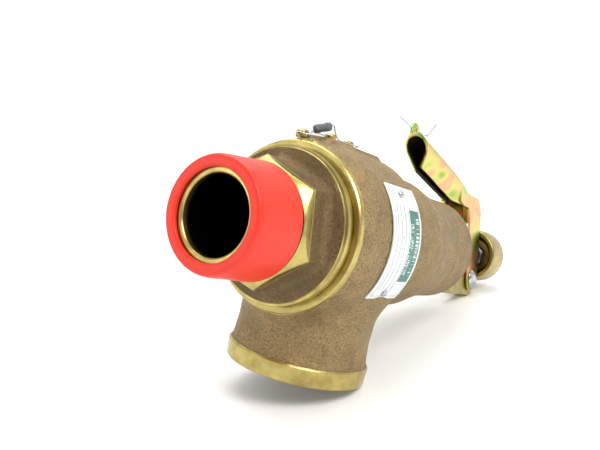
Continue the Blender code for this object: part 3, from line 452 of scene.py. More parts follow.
def body_cut(paint, x, y, z):
    """Machined on the body: the ring at the inlet end, the outlet's rim and its threaded socket."""
    wander = ragged(paint)
    ring = paint.step(paint.plus(z, wander), 54.7, 54.3)
    ring = paint.times(ring, paint.step(radius_from(paint, x, y), BODY_RING_R + 1.0, BODY_RING_R + 0.6))
    rim = paint.step(paint.plus(y, paint.times(wander, 0.7)), OUTLET_COLLAR - 0.3, OUTLET_COLLAR + 0.1)
    from_outlet = radius_from(paint, x, paint.math("SUBTRACT", z, OUTLET_Z))
    socket = paint.times(paint.step(from_outlet, 30.6, 30.2), paint.step(y, 42.0, 43.0))
    return paint.either(ring, rim, socket)


def nozzle_cut(paint, x, y, z):
    """Machined on the nozzle: thread, hexagon's face, flange rim, bore and all inside the body."""
    wander = paint.times(ragged(paint, 2.0, 0.7), 0.5)
    from_axis = radius_from(paint, x, y)
    front = paint.step(paint.plus(z, wander), 35.2, 34.4)
    rim = paint.step(from_axis, 35.2, 35.5)
    bore = paint.step(from_axis, 19.2, 18.8)
    return paint.either(front, rim, bore, paint.step(z, 51.2, 51.6))


def nozzle_bore_shade(paint, x, y, z):
    """Painted shade: the bore's wall is coloured nearly black behind its machined mouth, where shade falls deep inside
    it.
    """
    wall = paint.step(radius_from(paint, x, y), 17.6, 17.3)
    return paint.times(wall, paint.step(paint.plus(z, ragged(paint, 4.0, 0.8)), 3.4, 6.5))


def brass_paint(name, along, pitch=0.35, dark=0.0):
    paint = Paint(name, metallic=1.0)
    colour, rough, lines = brass_colours(paint, along(paint, *paint.axes()), pitch)
    if dark:
        grime = paint.step(paint.noise(3.2, 6.0, 0.75), 0.40, 0.72)
        colour = paint.over(colour, grime, dark, (0.13, 0.085, 0.035))
    paint.set("Base Color", colour)
    paint.set("Roughness", rough)
    paint.set("Normal", paint.bump(lines, 0.03))
    return paint.material


def steel_paint(name, low, high, rough=(0.22, 0.42)):
    """Turned or plated steel between two colours, with fine lines and smudges."""
    paint = Paint(name, metallic=1.0)
    smudge = paint.noise(5.0, 5.0, 0.65)
    lines = paint.turning(paint.axes()[2], 0.3)
    paint.set("Base Color", paint.ramp(smudge, [(0.30, low), (0.70, high)]))
    paint.set("Roughness", paint.blend(smudge, *rough))
    paint.set("Normal", paint.bump(lines, 0.02, under=paint.bump(smudge, 0.05)))
    return paint.material


def zinc_paint(name):
    """Yellow passivated zinc: slow drifts of green, gold and pink over bright metal."""
    paint = Paint(name, metallic=1.0)
    drift = paint.noise(19.0, 1.0, 0.4, at=paint.stretched((0.9, 0.8, 0.6)), distortion=0.5)
    tints = [
        (0.35, (0.26, 0.38, 0.070)), (0.42, (0.58, 0.60, 0.170)), (0.48, (0.78, 0.57, 0.190)),
        (0.54, (0.78, 0.40, 0.220)), (0.61, (0.68, 0.60, 0.170)), (0.69, (0.30, 0.46, 0.100)),
    ]
    fine = paint.noise(2.2, 5.0, 0.7)
    colour = paint.over(paint.ramp(drift, tints), paint.step(fine, 0.60, 0.78), 0.4, (0.85, 0.80, 0.50))
    colour = paint.over(colour, paint.step(fine, 0.36, 0.20), 0.6, (0.20, 0.16, 0.06))
    paint.set("Base Color", colour)
    paint.set("Roughness", paint.blend(fine, 0.22, 0.46))
    paint.set("Normal", paint.bump(fine, 0.08, under=paint.bump(drift, 0.6)))
    return paint.material


def red_paint(name):
    """Soft moulded polyethylene: even red with a faint haze, flow marks and scuffs."""
    paint = Paint(name, roughness=0.42)
    haze = paint.noise(11.0, 3.0, 0.5, at=paint.stretched((1.0, 1.0, 0.35)))
    scuffs = paint.step(paint.noise(2.4, 6.0, 0.8, at=paint.stretched((1.0, 1.0, 0.4))), 0.66, 0.80)
    reds = paint.ramp(haze, [(0.3, (0.66, 0.024, 0.010)), (0.7, (0.76, 0.038, 0.016))])
    paint.set("Base Color", paint.over(reds, scuffs, 0.25, (0.92, 0.20, 0.12)))
    paint.set("Roughness", paint.blend(scuffs, paint.blend(haze, 0.34, 0.46), 0.62))
    paint.set("Specular IOR Level", 0.34)
    paint.set("Normal", paint.bump(haze, 0.5, under=paint.bump(paint.noise(0.7, 2.0, 0.5), 0.03)))
    return paint.material


def lead_paint(name):
    paint = Paint(name, metallic=0.6)
    lumps = paint.noise(1.3, 6.0, 0.75)
    greys = [(0.30, (0.045, 0.050, 0.058)), (0.55, (0.13, 0.14, 0.155)), (0.8, (0.34, 0.36, 0.39))]
    paint.set("Base Color", paint.ramp(lumps, greys))
    paint.set("Roughness", paint.blend(lumps, 0.62, 0.40))
    paint.set("Normal", paint.bump(lumps, 0.5))
    return paint.material


def plate_paint(name):
    """Satin aluminium plate with a printed frame, ruled lines and blocks. The rows of dashes stand
    in for print and spell nothing."""
    paint = Paint(name, metallic=0.25, roughness=0.38)
    uv = paint.node("ShaderNodeUVMap", uv_map="print").outputs[0]
    across, down = paint.node("ShaderNodeSeparateXYZ", uv).outputs[:2]

    def band(value, low, high, edge=0.006):
        return paint.times(paint.step(value, low - edge, low), paint.step(value, high + edge, high))

    def patch(u0, u1, v0, v1):
        return paint.times(band(across, u0, u1), band(down, v0, v1, 0.003))

    def dashes(area, rows, seed, length, fill):
        """Rows of short unequal marks inside a patch."""
        lanes = paint.times(across, rows / (area[1] - area[0]))
        spot = paint.node("ShaderNodeCombineXYZ", paint.plus(paint.math("FLOOR", lanes), seed), 0.0, 0.0)
        paint.feed(spot.inputs[1], paint.times(down, 1.0 / length))
        marks = paint.node("ShaderNodeTexNoise", spot.outputs[0], named={"Scale": 2.3, "Detail": 1.0})
        inked = paint.step(marks.outputs["Fac"], fill - 0.02, fill + 0.02)
        inked = paint.times(inked, band(paint.math("FRACT", lanes), 0.22, 0.80, 0.1))
        return paint.times(inked, patch(*area))

    inner = patch(0.076, 0.930, 0.0345, 0.9655)
    frame_line = paint.math("SUBTRACT", patch(0.060, 0.945, 0.030, 0.970), inner, clamp=True)
    starts = ((0.140, 0.17), (0.265, 0.17), (0.410, 0.17), (0.535, 0.22))
    rules = paint.either(*(patch(u, u + 0.016, v, 0.90) for u, v in starts))
    ink = paint.either(
        paint.times(frame_line, 0.8),
        paint.times(rules, 0.75),
        paint.times(dashes((0.08, 0.56, 0.045, 0.11), 6, 3.0, 0.030, 0.52), 0.45),
        paint.times(dashes((0.30, 0.40, 0.42, 0.56), 1, 9.0, 0.020, 0.50), 0.5),
    )
    block = patch(0.585, 0.925, 0.205, 0.815)
    open_part = paint.either(
        dashes((0.60, 0.73, 0.31, 0.75), 2, 5.0, 0.016, 0.53),
        dashes((0.75, 0.905, 0.27, 0.75), 1, 7.0, 0.022, 0.52),
    )
    base = paint.ramp(paint.noise(7.0, 4.0, 0.6), [(0.3, (0.66, 0.70, 0.69)), (0.7, (0.80, 0.83, 0.82))])
    print_colour = paint.mix(paint.noise(1.2, 3.0, 0.6), (0.050, 0.150, 0.128), (0.085, 0.215, 0.185))
    colour = paint.mix(block, base, print_colour)
    colour = paint.over(colour, open_part, 0.85, (0.80, 0.86, 0.84))
    colour = paint.mix(ink, colour, (0.10, 0.14, 0.13))
    smear = paint.step(paint.noise(3.5, 5.0, 0.75), 0.66, 0.80)
    paint.set("Base Color", paint.over(colour, smear, 0.25, (0.42, 0.38, 0.30)))
    paint.set("Roughness", paint.blend(paint.either(block, ink), 0.30, 0.52))
    sheet = paint.bump(paint.noise(9.0, 2.0, 0.5), 0.5)
    paint.set("Normal", paint.bump(paint.plus(block, ink), 0.03, under=sheet))
    return paint.material


def along_z(paint, x, y, z):
    return paint.plus(z, paint.times(radius_from(paint, x, y), 0.9))


def along_body(paint, x, y, z):
    """Lathe lines run round the valve's axis at the inlet end and round the outlet's at its rim."""
    out = radius_from(paint, x, paint.math("SUBTRACT", z, OUTLET_Z))
    return paint.blend(paint.step(y, 50.0, 50.1), along_z(paint, x, y, z), paint.plus(y, out))


PAINTS = {
    "body": metal_casting("cast_body_skin", body_cut, along_body),
    "nozzle": metal_casting("cast_nozzle_skin", nozzle_cut, along_z, 0.45, nozzle_bore_shade, 0.5),
    "brass": brass_paint("turned_brass", along_z),
    "old_brass": brass_paint("handled_brass", along_z, 0.5, 0.45),
    "screw_brass": brass_paint("screw_brass", along_z, 0.25, 0.45),
    "red": red_paint("moulded_red"),
    "zinc": zinc_paint("yellow_zinc_plate"),
    # Painted shade: a nearly black zinc for the faces inside the lever's fold.
    "fold_shade_paint": steel_paint("painted_fold_shade", (0.020, 0.017, 0.008), (0.085, 0.070, 0.030), (0.45, 0.60)),
    "bright": steel_paint("bright_plate", (0.50, 0.53, 0.56), (0.86, 0.88, 0.90), (0.10, 0.30)),
    "pin_plate": steel_paint("worn_plate", (0.14, 0.145, 0.15), (0.62, 0.63, 0.65), (0.10, 0.28)),
    "steel": steel_paint("turned_steel", (0.30, 0.30, 0.31), (0.58, 0.58, 0.57)),
    "spring": steel_paint("spring_steel", (0.06, 0.065, 0.075), (0.22, 0.23, 0.25), (0.30, 0.50)),
    "lead": lead_paint("dull_lead"),
    "plate": plate_paint("printed_plate"),
}


# ---------------------------------------------------------------- mesh helpers


def linked(name, data):
    made = bpy.data.objects.new(name, data)
    bpy.context.scene.collection.objects.link(made)
    return made


def new_object(name, points, faces):
    mesh = bpy.data.meshes.new(name)
    mesh.from_pydata([tuple(p) for p in points], [], faces)
    mesh.validate()
    return linked(name, mesh)


def evened(obj, merge=1e-5):
    """Make all faces point outwards."""
    shape = bmesh.new()
    shape.from_mesh(obj.data)
    if merge:
        bmesh.ops.remove_doubles(shape, verts=shape.verts, dist=merge)
    bmesh.ops.recalc_face_normals(shape, faces=shape.faces)
    shape.to_mesh(obj.data)
    shape.free()
    return obj


def apply_modifiers(obj):
    graph = bpy.context.evaluated_depsgraph_get()
    graph.update()
    mesh = bpy.data.meshes.new_from_object(obj.evaluated_get(graph))
    old = obj.data
    obj.modifiers.clear()
    obj.data = mesh
    bpy.data.meshes.remove(old)
    return obj


def boolean(obj, operation, *tools):
    """Add or cut away each tool in turn. The tools are used up."""
    for tool in tools:
        step = obj.modifiers.new("step", "BOOLEAN")
        step.operation = operation
        step.solver = "EXACT"
        step.object = tool
        apply_modifiers(obj)
        bpy.data.objects.remove(tool, do_unlink=True)
    return obj


def moved(obj, matrix):
    obj.data.transform(matrix)
    return obj


def rounded(profile):
    """Profile with an arc at each corner. A point is (r, z), eased a little, or (r, z, arc radius)."""
    steps = 4
    points = [(Vector(p[:2]), p[2] if len(p) > 2 else EASED) for p in profile]
    count = len(points)
    made = []
    for i, (at, radius) in enumerate(points):
        before = points[i - 1][0] - at
        after = points[(i + 1) % count][0] - at
        if radius <= 0 or at.x <= 1e-6 or before.length < 1e-6 or after.length < 1e-6:
            made.append(at)
            continue
        angle = before.angle(after)
        if angle > math.radians(176):
            made.append(at)
            continue
        reach = min(radius / math.tan(angle / 2), 0.45 * before.length, 0.45 * after.length)
        start = at + before.normalized() * reach
        end = at + after.normalized() * reach
        for k in range(steps + 1):
            t = k / steps
            made.append((1 - t) ** 2 * start + 2 * t * (1 - t) * at + t**2 * end)
    return made


def ringed(radius, z, steps):
    """Points round the Z axis at one radius and height."""
    turns = [math.tau * k / steps for k in range(steps)]
    return [(radius * math.cos(a), radius * math.sin(a), z) for a in turns]


def turned(name, profile, steps):
    """Closed solid turned about Z from a profile whose corners are rounded."""
    outline = rounded(profile)
    points, faces, rows = [], [], []
    for p in outline:
        if p.x <= 1e-6:
            rows.append([len(points)] * steps)
            points.append((0.0, 0.0, p.y))
            continue
        rows.append(list(range(len(points), len(points) + steps)))
        points += ringed(p.x, p.y, steps)
    loop = outline[0].x > 1e-6 or outline[-1].x > 1e-6
    pairs = list(zip(rows, rows[1:]))
    if loop:
        pairs.append((rows[-1], rows[0]))
    for a, b in pairs:
        for k in range(steps):
            n = (k + 1) % steps
            face = []
            for v in (a[k], a[n], b[n], b[k]):
                if v not in face:
                    face.append(v)
            if len(face) > 2:
                faces.append(face)
    return evened(new_object(name, points, faces))


def skin_faces(count, rings, closed=False):
    """Faces over rings of count points each. An open skin gets a cap at each end."""
    faces = []
    for i in range(rings if closed else rings - 1):
        a, b = i * count, (i + 1) % rings * count
        faces += [(a + k, a + (k + 1) % count, b + (k + 1) % count, b + k) for k in range(count)]
    if not closed:
        faces.append(list(reversed(range(count))))
        faces.append(list(range((rings - 1) * count, rings * count)))
    return faces


def skinned(name, rings, closed=False):
    """Skin over rings of points. A closed one joins its last ring to its first."""
    points = [p for ring in rings for p in ring]
    return evened(new_object(name, points, skin_faces(len(rings[0]), len(rings), closed)))


def rod(name, radius, low, high, sides=48):
    return turned(name, [(0.0, high, 0), (radius, high, 0), (radius, low, 0), (0.0, low, 0)], sides)


def block(name, low, high):
    shape = bmesh.new()
    middle = [(a + b) / 2 for a, b in zip(low, high)]
    sides = [b - a for a, b in zip(low, high)]
    fit = Matrix.Translation(middle) @ Matrix.Diagonal((*sides, 1.0))
    bmesh.ops.create_cube(shape, size=1.0, matrix=fit)
    made = new_object(name, [], [])
    shape.to_mesh(made.data)
    shape.free()
    return made


def remeshed(obj, voxel, smooth=0):
    step = obj.modifiers.new("remesh", "REMESH")
    step.mode = "VOXEL"
    step.voxel_size = voxel
    if smooth:
        step = obj.modifiers.new("smooth", "SMOOTH")
        step.factor = 0.5
        step.iterations = smooth
    return apply_modifiers(obj)


def show(obj, space, body, paint, node, slot, sharp):
    """Lay a finished piece down in the row frame and hand it to its body."""
    obj.data.transform(space)
    obj.data.materials.clear()
    obj.data.materials.append(PAINTS[paint])
    obj.data.shade_smooth()
    obj.data.set_sharp_from_angle(angle=math.radians(sharp))
    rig.ride(obj, body)
    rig.replaces(obj, node)
    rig.slot(obj, slot)
    return obj


def arc(centre, radius, start, end, count):
    turns = [math.radians(start + (end - start) * i / count) for i in range(count + 1)]
    return [(centre[0] + radius * math.cos(a), centre[1] + radius * math.sin(a)) for a in turns]


def smooth_route(points, per_span):
    """Points along a Catmull-Rom curve through the given points."""
    held = [Vector(p) for p in (points[0], *points, points[-1])]
    route = []
    for a, b, c, d in zip(held, held[1:], held[2:], held[3:]):
        for i in range(per_span):
            t = i / per_span
            bend = (2 * a - 5 * b + 4 * c - d) * t**2 + (3 * b - a - 3 * c + d) * t**3
            route.append(0.5 * (2 * b + (c - a) * t + bend))
    route.append(held[-1])
    return route


def carried(route):
    """Each point of a route with two directions across it, carried along without twist."""
    across = None
    for i, at in enumerate(route):
        ahead = (route[min(i + 1, len(route) - 1)] - route[max(i - 1, 0)]).normalized()
        if across is None:
            across = ahead.orthogonal().normalized()
        across = (across - across.dot(ahead) * ahead).normalized()
        yield at, across, ahead.cross(across)


def tube(name, route, radius, sides):
    turns = [math.tau * k / sides for k in range(sides)]
    rings = []
    for at, across, other in carried(route):
        rings.append([at + radius * (math.cos(a) * across + math.sin(a) * other) for a in turns])
    return skinned(name, rings)


def joined(name, *objs):
    """One mesh from several separate shells."""
    shape = bmesh.new()
    for obj in objs:
        shape.from_mesh(obj.data)
        bpy.data.objects.remove(obj, do_unlink=True)
    made = new_object(name, [], [])
    shape.to_mesh(made.data)
    shape.free()
    return made


# ---------------------------------------------------------------- distance fields for the casting


def read_points(mesh):
    co = np.empty(len(mesh.vertices) * 3)
    mesh.vertices.foreach_get("co", co)
    return co.reshape(-1, 3)


def turned_field(profile):
    """Signed distance to a solid turned about Z from a closed (r, z) profile."""
    corners = np.array([tuple(p[:2]) for p in profile], float)
    ends = np.roll(corners, -1, axis=0)

    def field(p):
        q = np.stack([np.hypot(p[:, 0], p[:, 1]), p[:, 2]], axis=1)
        nearest = np.full(len(q), 1e9)
        inside = np.zeros(len(q), bool)
        for a, b in zip(corners, ends):
            if a[0] < 1e-6 and b[0] < 1e-6:
                continue
            side = b - a
            t = np.clip(((q - a) @ side) / (side @ side), 0.0, 1.0)
            nearest = np.minimum(nearest, np.hypot(*(q - a - t[:, None] * side).T))
            if a[1] != b[1]:
                spans = (a[1] > q[:, 1]) != (b[1] > q[:, 1])
                cross = a[0] + (q[:, 1] - a[1]) * side[0] / side[1]
                inside ^= spans & (q[:, 0] < cross)
        return np.where(inside, -nearest, nearest)

    return field


def union(a, b, fillet):
    """Union of two distances with a soft fillet between them."""
    share = np.clip(0.5 + 0.5 * (b - a) / fillet, 0.0, 1.0)
    return b * (1 - share) + a * share - fillet * share * (1 - share)


def settle(obj, field):
    """Move a mesh's vertices, in a few steps, onto the surface where the field is zero."""
    co = read_points(obj.data)
    for _ in range(5):
        value = field(co)
        slope = np.empty_like(co)
        for axis in range(3):
            nudge = np.zeros(3)
            nudge[axis] = 0.05
            slope[:, axis] = (field(co + nudge) - field(co - nudge)) / 0.1
        size = np.maximum((slope**2).sum(axis=1), 0.3)
        co -= (np.clip(value, -1.5, 1.5) / size)[:, None] * slope
    obj.data.vertices.foreach_set("co", co.ravel())
    obj.data.update()
    return obj


CAST_PROFILE = [  # radius and height, from the top of the neck down the outside
    (0.0, NECK_TOP_Z + 9.5), (19.6, NECK_TOP_Z + 9.5), (20.4, NECK_TOP_Z + 8.7),
    (20.4, NECK_TOP_Z), (NECK_R - 3.4, NECK_TOP_Z), (NECK_R - 1.0, NECK_TOP_Z - 1.3),
    (NECK_R, NECK_TOP_Z - 4.2), (NECK_R, 194.0), (NECK_R + 0.6, 186.0), (WAIST_R - 1.4, 161.0),
    (WAIST_R, 153.0), (WAIST_R, BARREL_TOP_Z + 11.0), (WAIST_R + 1.2, BARREL_TOP_Z + 6.0),
    (BARREL_R - 1.2, BARREL_TOP_Z + 0.8), (BARREL_R, BARREL_TOP_Z - 1.8), (BARREL_R, 66.0),
    (BARREL_R - 1.4, 58.2), (BODY_RING_R + 0.6, 55.2), (BODY_RING_R - 0.2, 54.4),
    (BODY_RING_R - 0.4, 53.0), (0.0, 53.0),
]
BRANCH_ROWS = (  # y, then the reach sideways, towards the inlet and towards the cap
    (8.0, 36.5, 36.0, 44.5), (24.0, 35.2, 35.6, 42.6), (32.0, 34.6, 35.0, 39.0),
    (40.0, 34.1, 34.2, 36.0), (50.0, 33.9, 33.9, 34.2), (58.0, 34.5, 34.5, 34.5),
    (OUTLET_COLLAR + 0.3, 35.2, 35.2, 35.2),
)


def branch_field(p):
    """Outlet branch: oval at the barrel and round at the collar."""
    at, side, forward, back = (np.array(c) for c in zip(*BRANCH_ROWS))
    y = p[:, 1]
    z = p[:, 2] - OUTLET_Z
    reach = np.where(z > 0, np.interp(y, at, back), np.interp(y, at, forward))
    norm = np.hypot(p[:, 0] / np.interp(y, at, side), z / reach)
    around = np.hypot(p[:, 0], z) * (1 - 1 / np.maximum(norm, 0.2))
    return np.maximum(around, np.maximum(y - at[-1], 2.0 - y))


def pad_field(low, high, top, half):
    """Low boss along the top of the barrel."""
    middle = np.array((0.0, -(top + 30.0) / 2, (low + high) / 2))
    size = np.array((half, (top - 30.0) / 2, (high - low) / 2)) - 2.0

    def field(p):
        q = np.abs(p - middle) - size
        return np.linalg.norm(np.maximum(q, 0.0), axis=1) + np.minimum(q.max(axis=1), 0.0) - 2.0

    return field


def cast_field():
    """The casting as one distance, with fillets where barrel, branch and pads meet."""
    barrel = turned_field(CAST_PROFILE)
    pads = (pad_field(52.6, 63.0, 41.9, 5.2), pad_field(60.0, BARREL_TOP_Z - 0.5, 44.4, 9.0))

    def field(p):
        return union(union(barrel(p), branch_field(p), 7.0), np.minimum(*(pad(p) for pad in pads)), 2.0)

    return field


def waved(obj, depth, size, seed):
    """Uneven skin of a sand casting. The machined rims are added after it."""
    shape = bmesh.new()
    shape.from_mesh(obj.data)
    for v in shape.verts:
        spot = v.co / size + Vector((seed, 0, 0))
        lift = noise.noise(spot) * 0.7 + noise.noise(spot * 3.1) * 0.3
        v.co += v.normal * (lift - 0.35) * depth
    shape.to_mesh(obj.data)
    shape.free()
    return obj


def body_casting():
    """Casting with soft fillets, then the machined rims added and all bores cut out of it."""
    casting = turned("body_casting", [(r, z, 0) for r, z in CAST_PROFILE], 72)
    rings = []
    for y, side, forward, back in BRANCH_ROWS:
        around = ringed(1.0, 0.0, 72)
        rings.append([(side * c, y, OUTLET_Z + (back if u > 0 else forward) * u) for c, u, _ in around])
    pad = block("pad", (-10.6, -44.4, 60.0), (10.6, -30.0, BARREL_TOP_Z - 0.5))
    front_pad = block("front_pad", (-11.2, -41.9, 52.6), (11.2, -30.0, 63.0))
    boolean(casting, "UNION", skinned("branch", rings), pad, front_pad)
    remeshed(casting, 1.05)
    waved(settle(casting, cast_field()), 0.12, 4.0, 3.0)
    ring = turned(
        "ring",
        [
            (BODY_RING_R - 0.7, BODY_Z, 0.2), (BODY_RING_R, BODY_Z + 0.7, 0.2),
            (BODY_RING_R, 54.9, 0.2), (BODY_RING_R - 3.0, 57.5), (33.6, 57.5), (33.6, BODY_Z),
        ],
        160,
    )
    rim = turned(
        "rim",
        [
            (OUTLET_RIM_R - 0.7, OUTLET_FACE, 0.2), (OUTLET_RIM_R, OUTLET_FACE - 0.7, 0.2),
            (36.2, OUTLET_COLLAR + 0.7, 0.2), (35.6, OUTLET_COLLAR, 0.2),
            (33.0, OUTLET_COLLAR - 1.0), (33.0, OUTLET_COLLAR - 5.0),
            (30.0, OUTLET_COLLAR - 5.0), (30.0, OUTLET_FACE),
        ],
        160,
    )
    lay = placed((0, 0, OUTLET_Z), ("X", -90))
    boolean(casting, "UNION", ring, moved(rim, lay))
    boolean(casting, "DIFFERENCE", body_cavity(), moved(outlet_socket(), lay))
    for turn, z, seat, _ in LOCK_SCREWS.values():
        point = placed((0, 0, z), ("Z", turn), ("X", -90))
        hole = moved(rod("hole", 2.3, 30.0, 50.0), point)
        face = moved(rod("face", 3.9, seat - GAP, 50.0), point)
        boolean(casting, "DIFFERENCE", hole, face)
    return show(casting, VALVE, "valve", "body", "body", "cast_bronze", 40.0)


def body_cavity():
    """Cutter for the inside of the body, open at both ends."""
    neck = NECK_TOP_Z + 11.0
    profile = [(0.0, neck, 0), (14.3, neck, 0), (14.3, 208.0), (27.3, 205.0, 1.0), (27.3, 116.0, 1.0)]
    profile += [(12.0, 116.0), (12.0, 112.0), (30.3, 112.0, 0), (30.3, 103.3), (35.5, 99.3, 1.5)]
    profile += [(35.5, 61.0, 1.0), (33.0, 60.0, 0), (33.0, 50.0, 0), (0.0, 50.0, 0)]
    return turned("cavity", profile, 128)


def thread_rows(low, high, per_turn):
    """Heights of the rings that carry a thread."""
    count = int((high - low) / THREAD_PITCH * per_turn)
    return [low + (high - low) * i / count for i in range(count + 1)]


def thread_dip(z, angle, depth):
    """Depth of a helical thread below its crest at one height and angle."""
    phase = (z / THREAD_PITCH - angle / math.tau) % 1.0
    return depth * min(abs(2.0 * phase - 1.0) * 1.25, 1.0)


def outlet_socket():
    """Cutter for the outlet: tapered female thread with a chamfered mouth, then the plain bore."""
    steps = 144
    face = OUTLET_FACE
    low, high = face - 24.0, face - 1.2
    rows = [(face + 1.0, 30.6, 0.0), (face + 0.02, 30.4, 0.0), (face - 1.0, 29.4, 0.0)]
    for z in reversed(thread_rows(low, high, 7)):
        share = (z - low) / (high - low)
        fade = min(share * 6.0, (1 - share) * 12.0, 1.0)
        rows.append((z, 28.6 + 0.7 * share, max(fade, 0.0)))
    rows += [(low - 2.0, 25.5, 0.0), (20.0, 25.5, 0.0)]
    rings = []
    for z, radius, cut in rows:
        ring = []
        for k in range(steps):
            a = math.tau * k / steps
            r = radius + cut * (thread_dip(z, a, 0.9) - 0.3)
            ring.append((r * math.cos(a), r * math.sin(a), z))
        rings.append(ring)
    return skinned("socket", rings)


def inlet_nozzle():
    """Nozzle as one skin: helical pipe thread, chamfered hexagon that flares into the flange,
    spigot, seat and bore."""
    steps = 192
    flat = HEX_FLATS / 2
    turns = [math.tau * k / steps + HEX_TURN for k in range(steps)]

    def hexagon(a):
        from_flat = (a - HEX_TURN + math.pi / 6) % (math.pi / 3) - math.pi / 6
        return flat / math.cos(from_flat)

    rings = []

    def ring(heights, radii):
        rings.append([(r * math.cos(a), r * math.sin(a), z) for a, z, r in zip(turns, heights, radii)])

    def plain(*rows):
        for r, z in rows:
            ring([z] * steps, [r] * steps)

    plain((17.9, 2.3), (22.0, 2.3), (22.4, 2.5))
    low, high = 3.2, 28.4
    for z in thread_rows(low, high, 8):
        share = (z - low) / (high - low)
        crest = 23.2 + 0.9 * share
        fade = min((1 - share) * 5.0, 1.0)
        ring([z] * steps, [crest - 1.2 + fade * (1.2 - thread_dip(z, a, 1.2)) for a in turns])
    plain((22.6, 28.9), (22.6, HEX_Z), (25.2, HEX_Z))
    for i in range(11):
        z = HEX_Z + 4.5 * i / 10
        cone = 25.5 + (z - HEX_Z) * 1.05
        ring([z] * steps, [min(hexagon(a), cone) for a in turns])
    plain_hex = [hexagon(a) for a in turns]
    for z in (35.0, 37.0, 39.0, 40.4):
        ring([z] * steps, plain_hex)
    fillet = 4.6
    corner_reach = flat * 0.1547  # from a flat's middle out to the corner's radius
    lift = [0.9 * (h - flat) / corner_reach for h in plain_hex]
    for i in range(1, 13):
        bend = math.pi / 2 * i / 12
        heights = [FLANGE_Z - fillet - 0.2 * up + (fillet - 0.6 * up) * math.sin(bend) for up in lift]
        ring(heights, [min(h + fillet * (1 - math.cos(bend)), 35.2) for h in plain_hex])
    plain((35.35, 45.3), (35.7, 45.9), (36.4, 46.1), (36.8, 46.3), (FLANGE_R, 46.8), (FLANGE_R, 50.2))
    plain((36.7, 50.6), (36.2, FLANGE_TOP_Z), (33.0, FLANGE_TOP_Z), (32.7, 51.1), (32.7, 59.6))
    plain((32.3, 60.0), (23.0, 60.0), (22.3, 60.7), (22.3, 76.8), (20.5, 78.2), (20.3, 78.6))
    plain((20.3, 79.8), (20.1, 80.0), (17.2, 80.0), (17.0, 79.8), (17.0, 40.0), (17.0, 3.3), (17.3, 2.7))
    made = skinned("inlet_nozzle_turned", rings, closed=True)
    return show(made, VALVE, "valve", "nozzle", "inlet_nozzle", "brass", 30.0)


def thread_protector():
    """Soft moulded cap, open in the middle, a little out of round."""
    profile = [(25.0, 27.8), (26.0, 27.8), (26.3, 27.2, 0.3), (25.6, 14.0, 6.0), (25.3, 7.0, 4.0)]
    profile += [(24.9, 2.2, 1.6), (24.2, 0.5, 1.0), (23.2, 0.0, 1.2), (20.3, 0.0, 0.8)]
    profile += [(19.4, 0.7, 0.5), (19.4, 2.0, 0.2), (23.6, 2.0), (24.2, 7.0, 2.0)]
    cap = turned("thread_protector_moulded", profile, 160)
    for v in cap.data.vertices:
        out = Vector((v.co.x, v.co.y, 0.0)).normalized()
        v.co += out * (noise.noise(v.co / 16.0) - 0.25) * 0.18
    return show(cap, VALVE, "protector", "red", "thread_protector", "red_plastic", 50.0)


def lock_screw(name):
    """Fillister screw with a domed slotted head, drilled for the seal wire."""
    turn, z, seat, tip = LOCK_SCREWS[name]
    top = seat + 3.2
    profile = [(0.0, top + 0.5, 0), (1.2, top + 0.45, 1.5), (2.5, top + 0.05, 0.8)]
    profile += [(3.0, top - 0.7, 0.3), (3.0, seat, 0.2), (2.0, seat, 0.1), (2.0, tip + 2.0, 0.3)]
    profile += [(1.0, tip, 0.2), (0.0, tip, 0)]
    screw = turned(name + "_head", profile, 48)
    slot = block("slot", (-6.0, -0.35, top - 0.4), (6.0, 0.35, top + 2.0))
    drill = moved(rod("drill", 0.8, -6.0, 6.0, 16), placed((0, 0, seat + WIRE_HEIGHT), ("X", 90)))
    boolean(screw, "DIFFERENCE", slot, drill)
    moved(screw, placed((0, 0, z), ("Z", turn), ("X", -90)))
    return show(screw, VALVE, "valve", "screw_brass", name, "brass", 30.0)


def on_pad(name, height, along, aside=0.0):
    """A point at a height over a lock screw's seat, moved along the valve and to the side."""
    turn, z, seat, _ = LOCK_SCREWS[name]
    a = math.radians(turn)
    at = Vector((-(seat + height) * math.sin(a), (seat + height) * math.cos(a), z + along))
    return at + Vector((aside, 0.0, 0.0))


def seal_wire():
    """Two strands twisted together through the drilled heads and back to the lead seal."""
    first, second, third = LOCK_SCREWS
    start = LEAD_SEAL - 4.75 * LEAD_SEAL_ALONG
    end = LEAD_SEAL + 4.75 * LEAD_SEAL_ALONG
    hole = WIRE_HEIGHT
    stations = [(first, hole, -1.0, 4.4), (first, hole, -5.0, 2.2)]
    stations += [(first, hole, -4.0), (first, hole, 4.0), (first, 4.0, 6.8)]
    stations += [(name, hole, along) for name in (second, third) for along in (-4.0, 4.0)]
    stations += [(third, 1.8, 5.0, 2.6), (third, 1.6, 0.0, 4.6), (second, 1.6, 0.0, 4.8)]
    route = [start, start - 1.0 * LEAD_SEAL_ALONG, *(on_pad(*s) for s in stations)]
    path = smooth_route([*route, end + 1.2 * LEAD_SEAL_ALONG, end], 14)
    strands = []
    for half in (0.0, math.pi):
        strand, gone, last = [], 0.0, path[0]
        for at, across, other in carried(path):
            gone += (at - last).length
            last = at
            a = half + math.tau * gone / 3.2
            strand.append(at + 0.19 * (math.cos(a) * across + math.sin(a) * other))
        strands.append(tube("strand", strand, 0.2, 8))
    wire = joined("seal_wire_twist", *strands)
    return show(wire, VALVE, "valve", "bright", "seal_wire", "bright_zinc", 60.0)


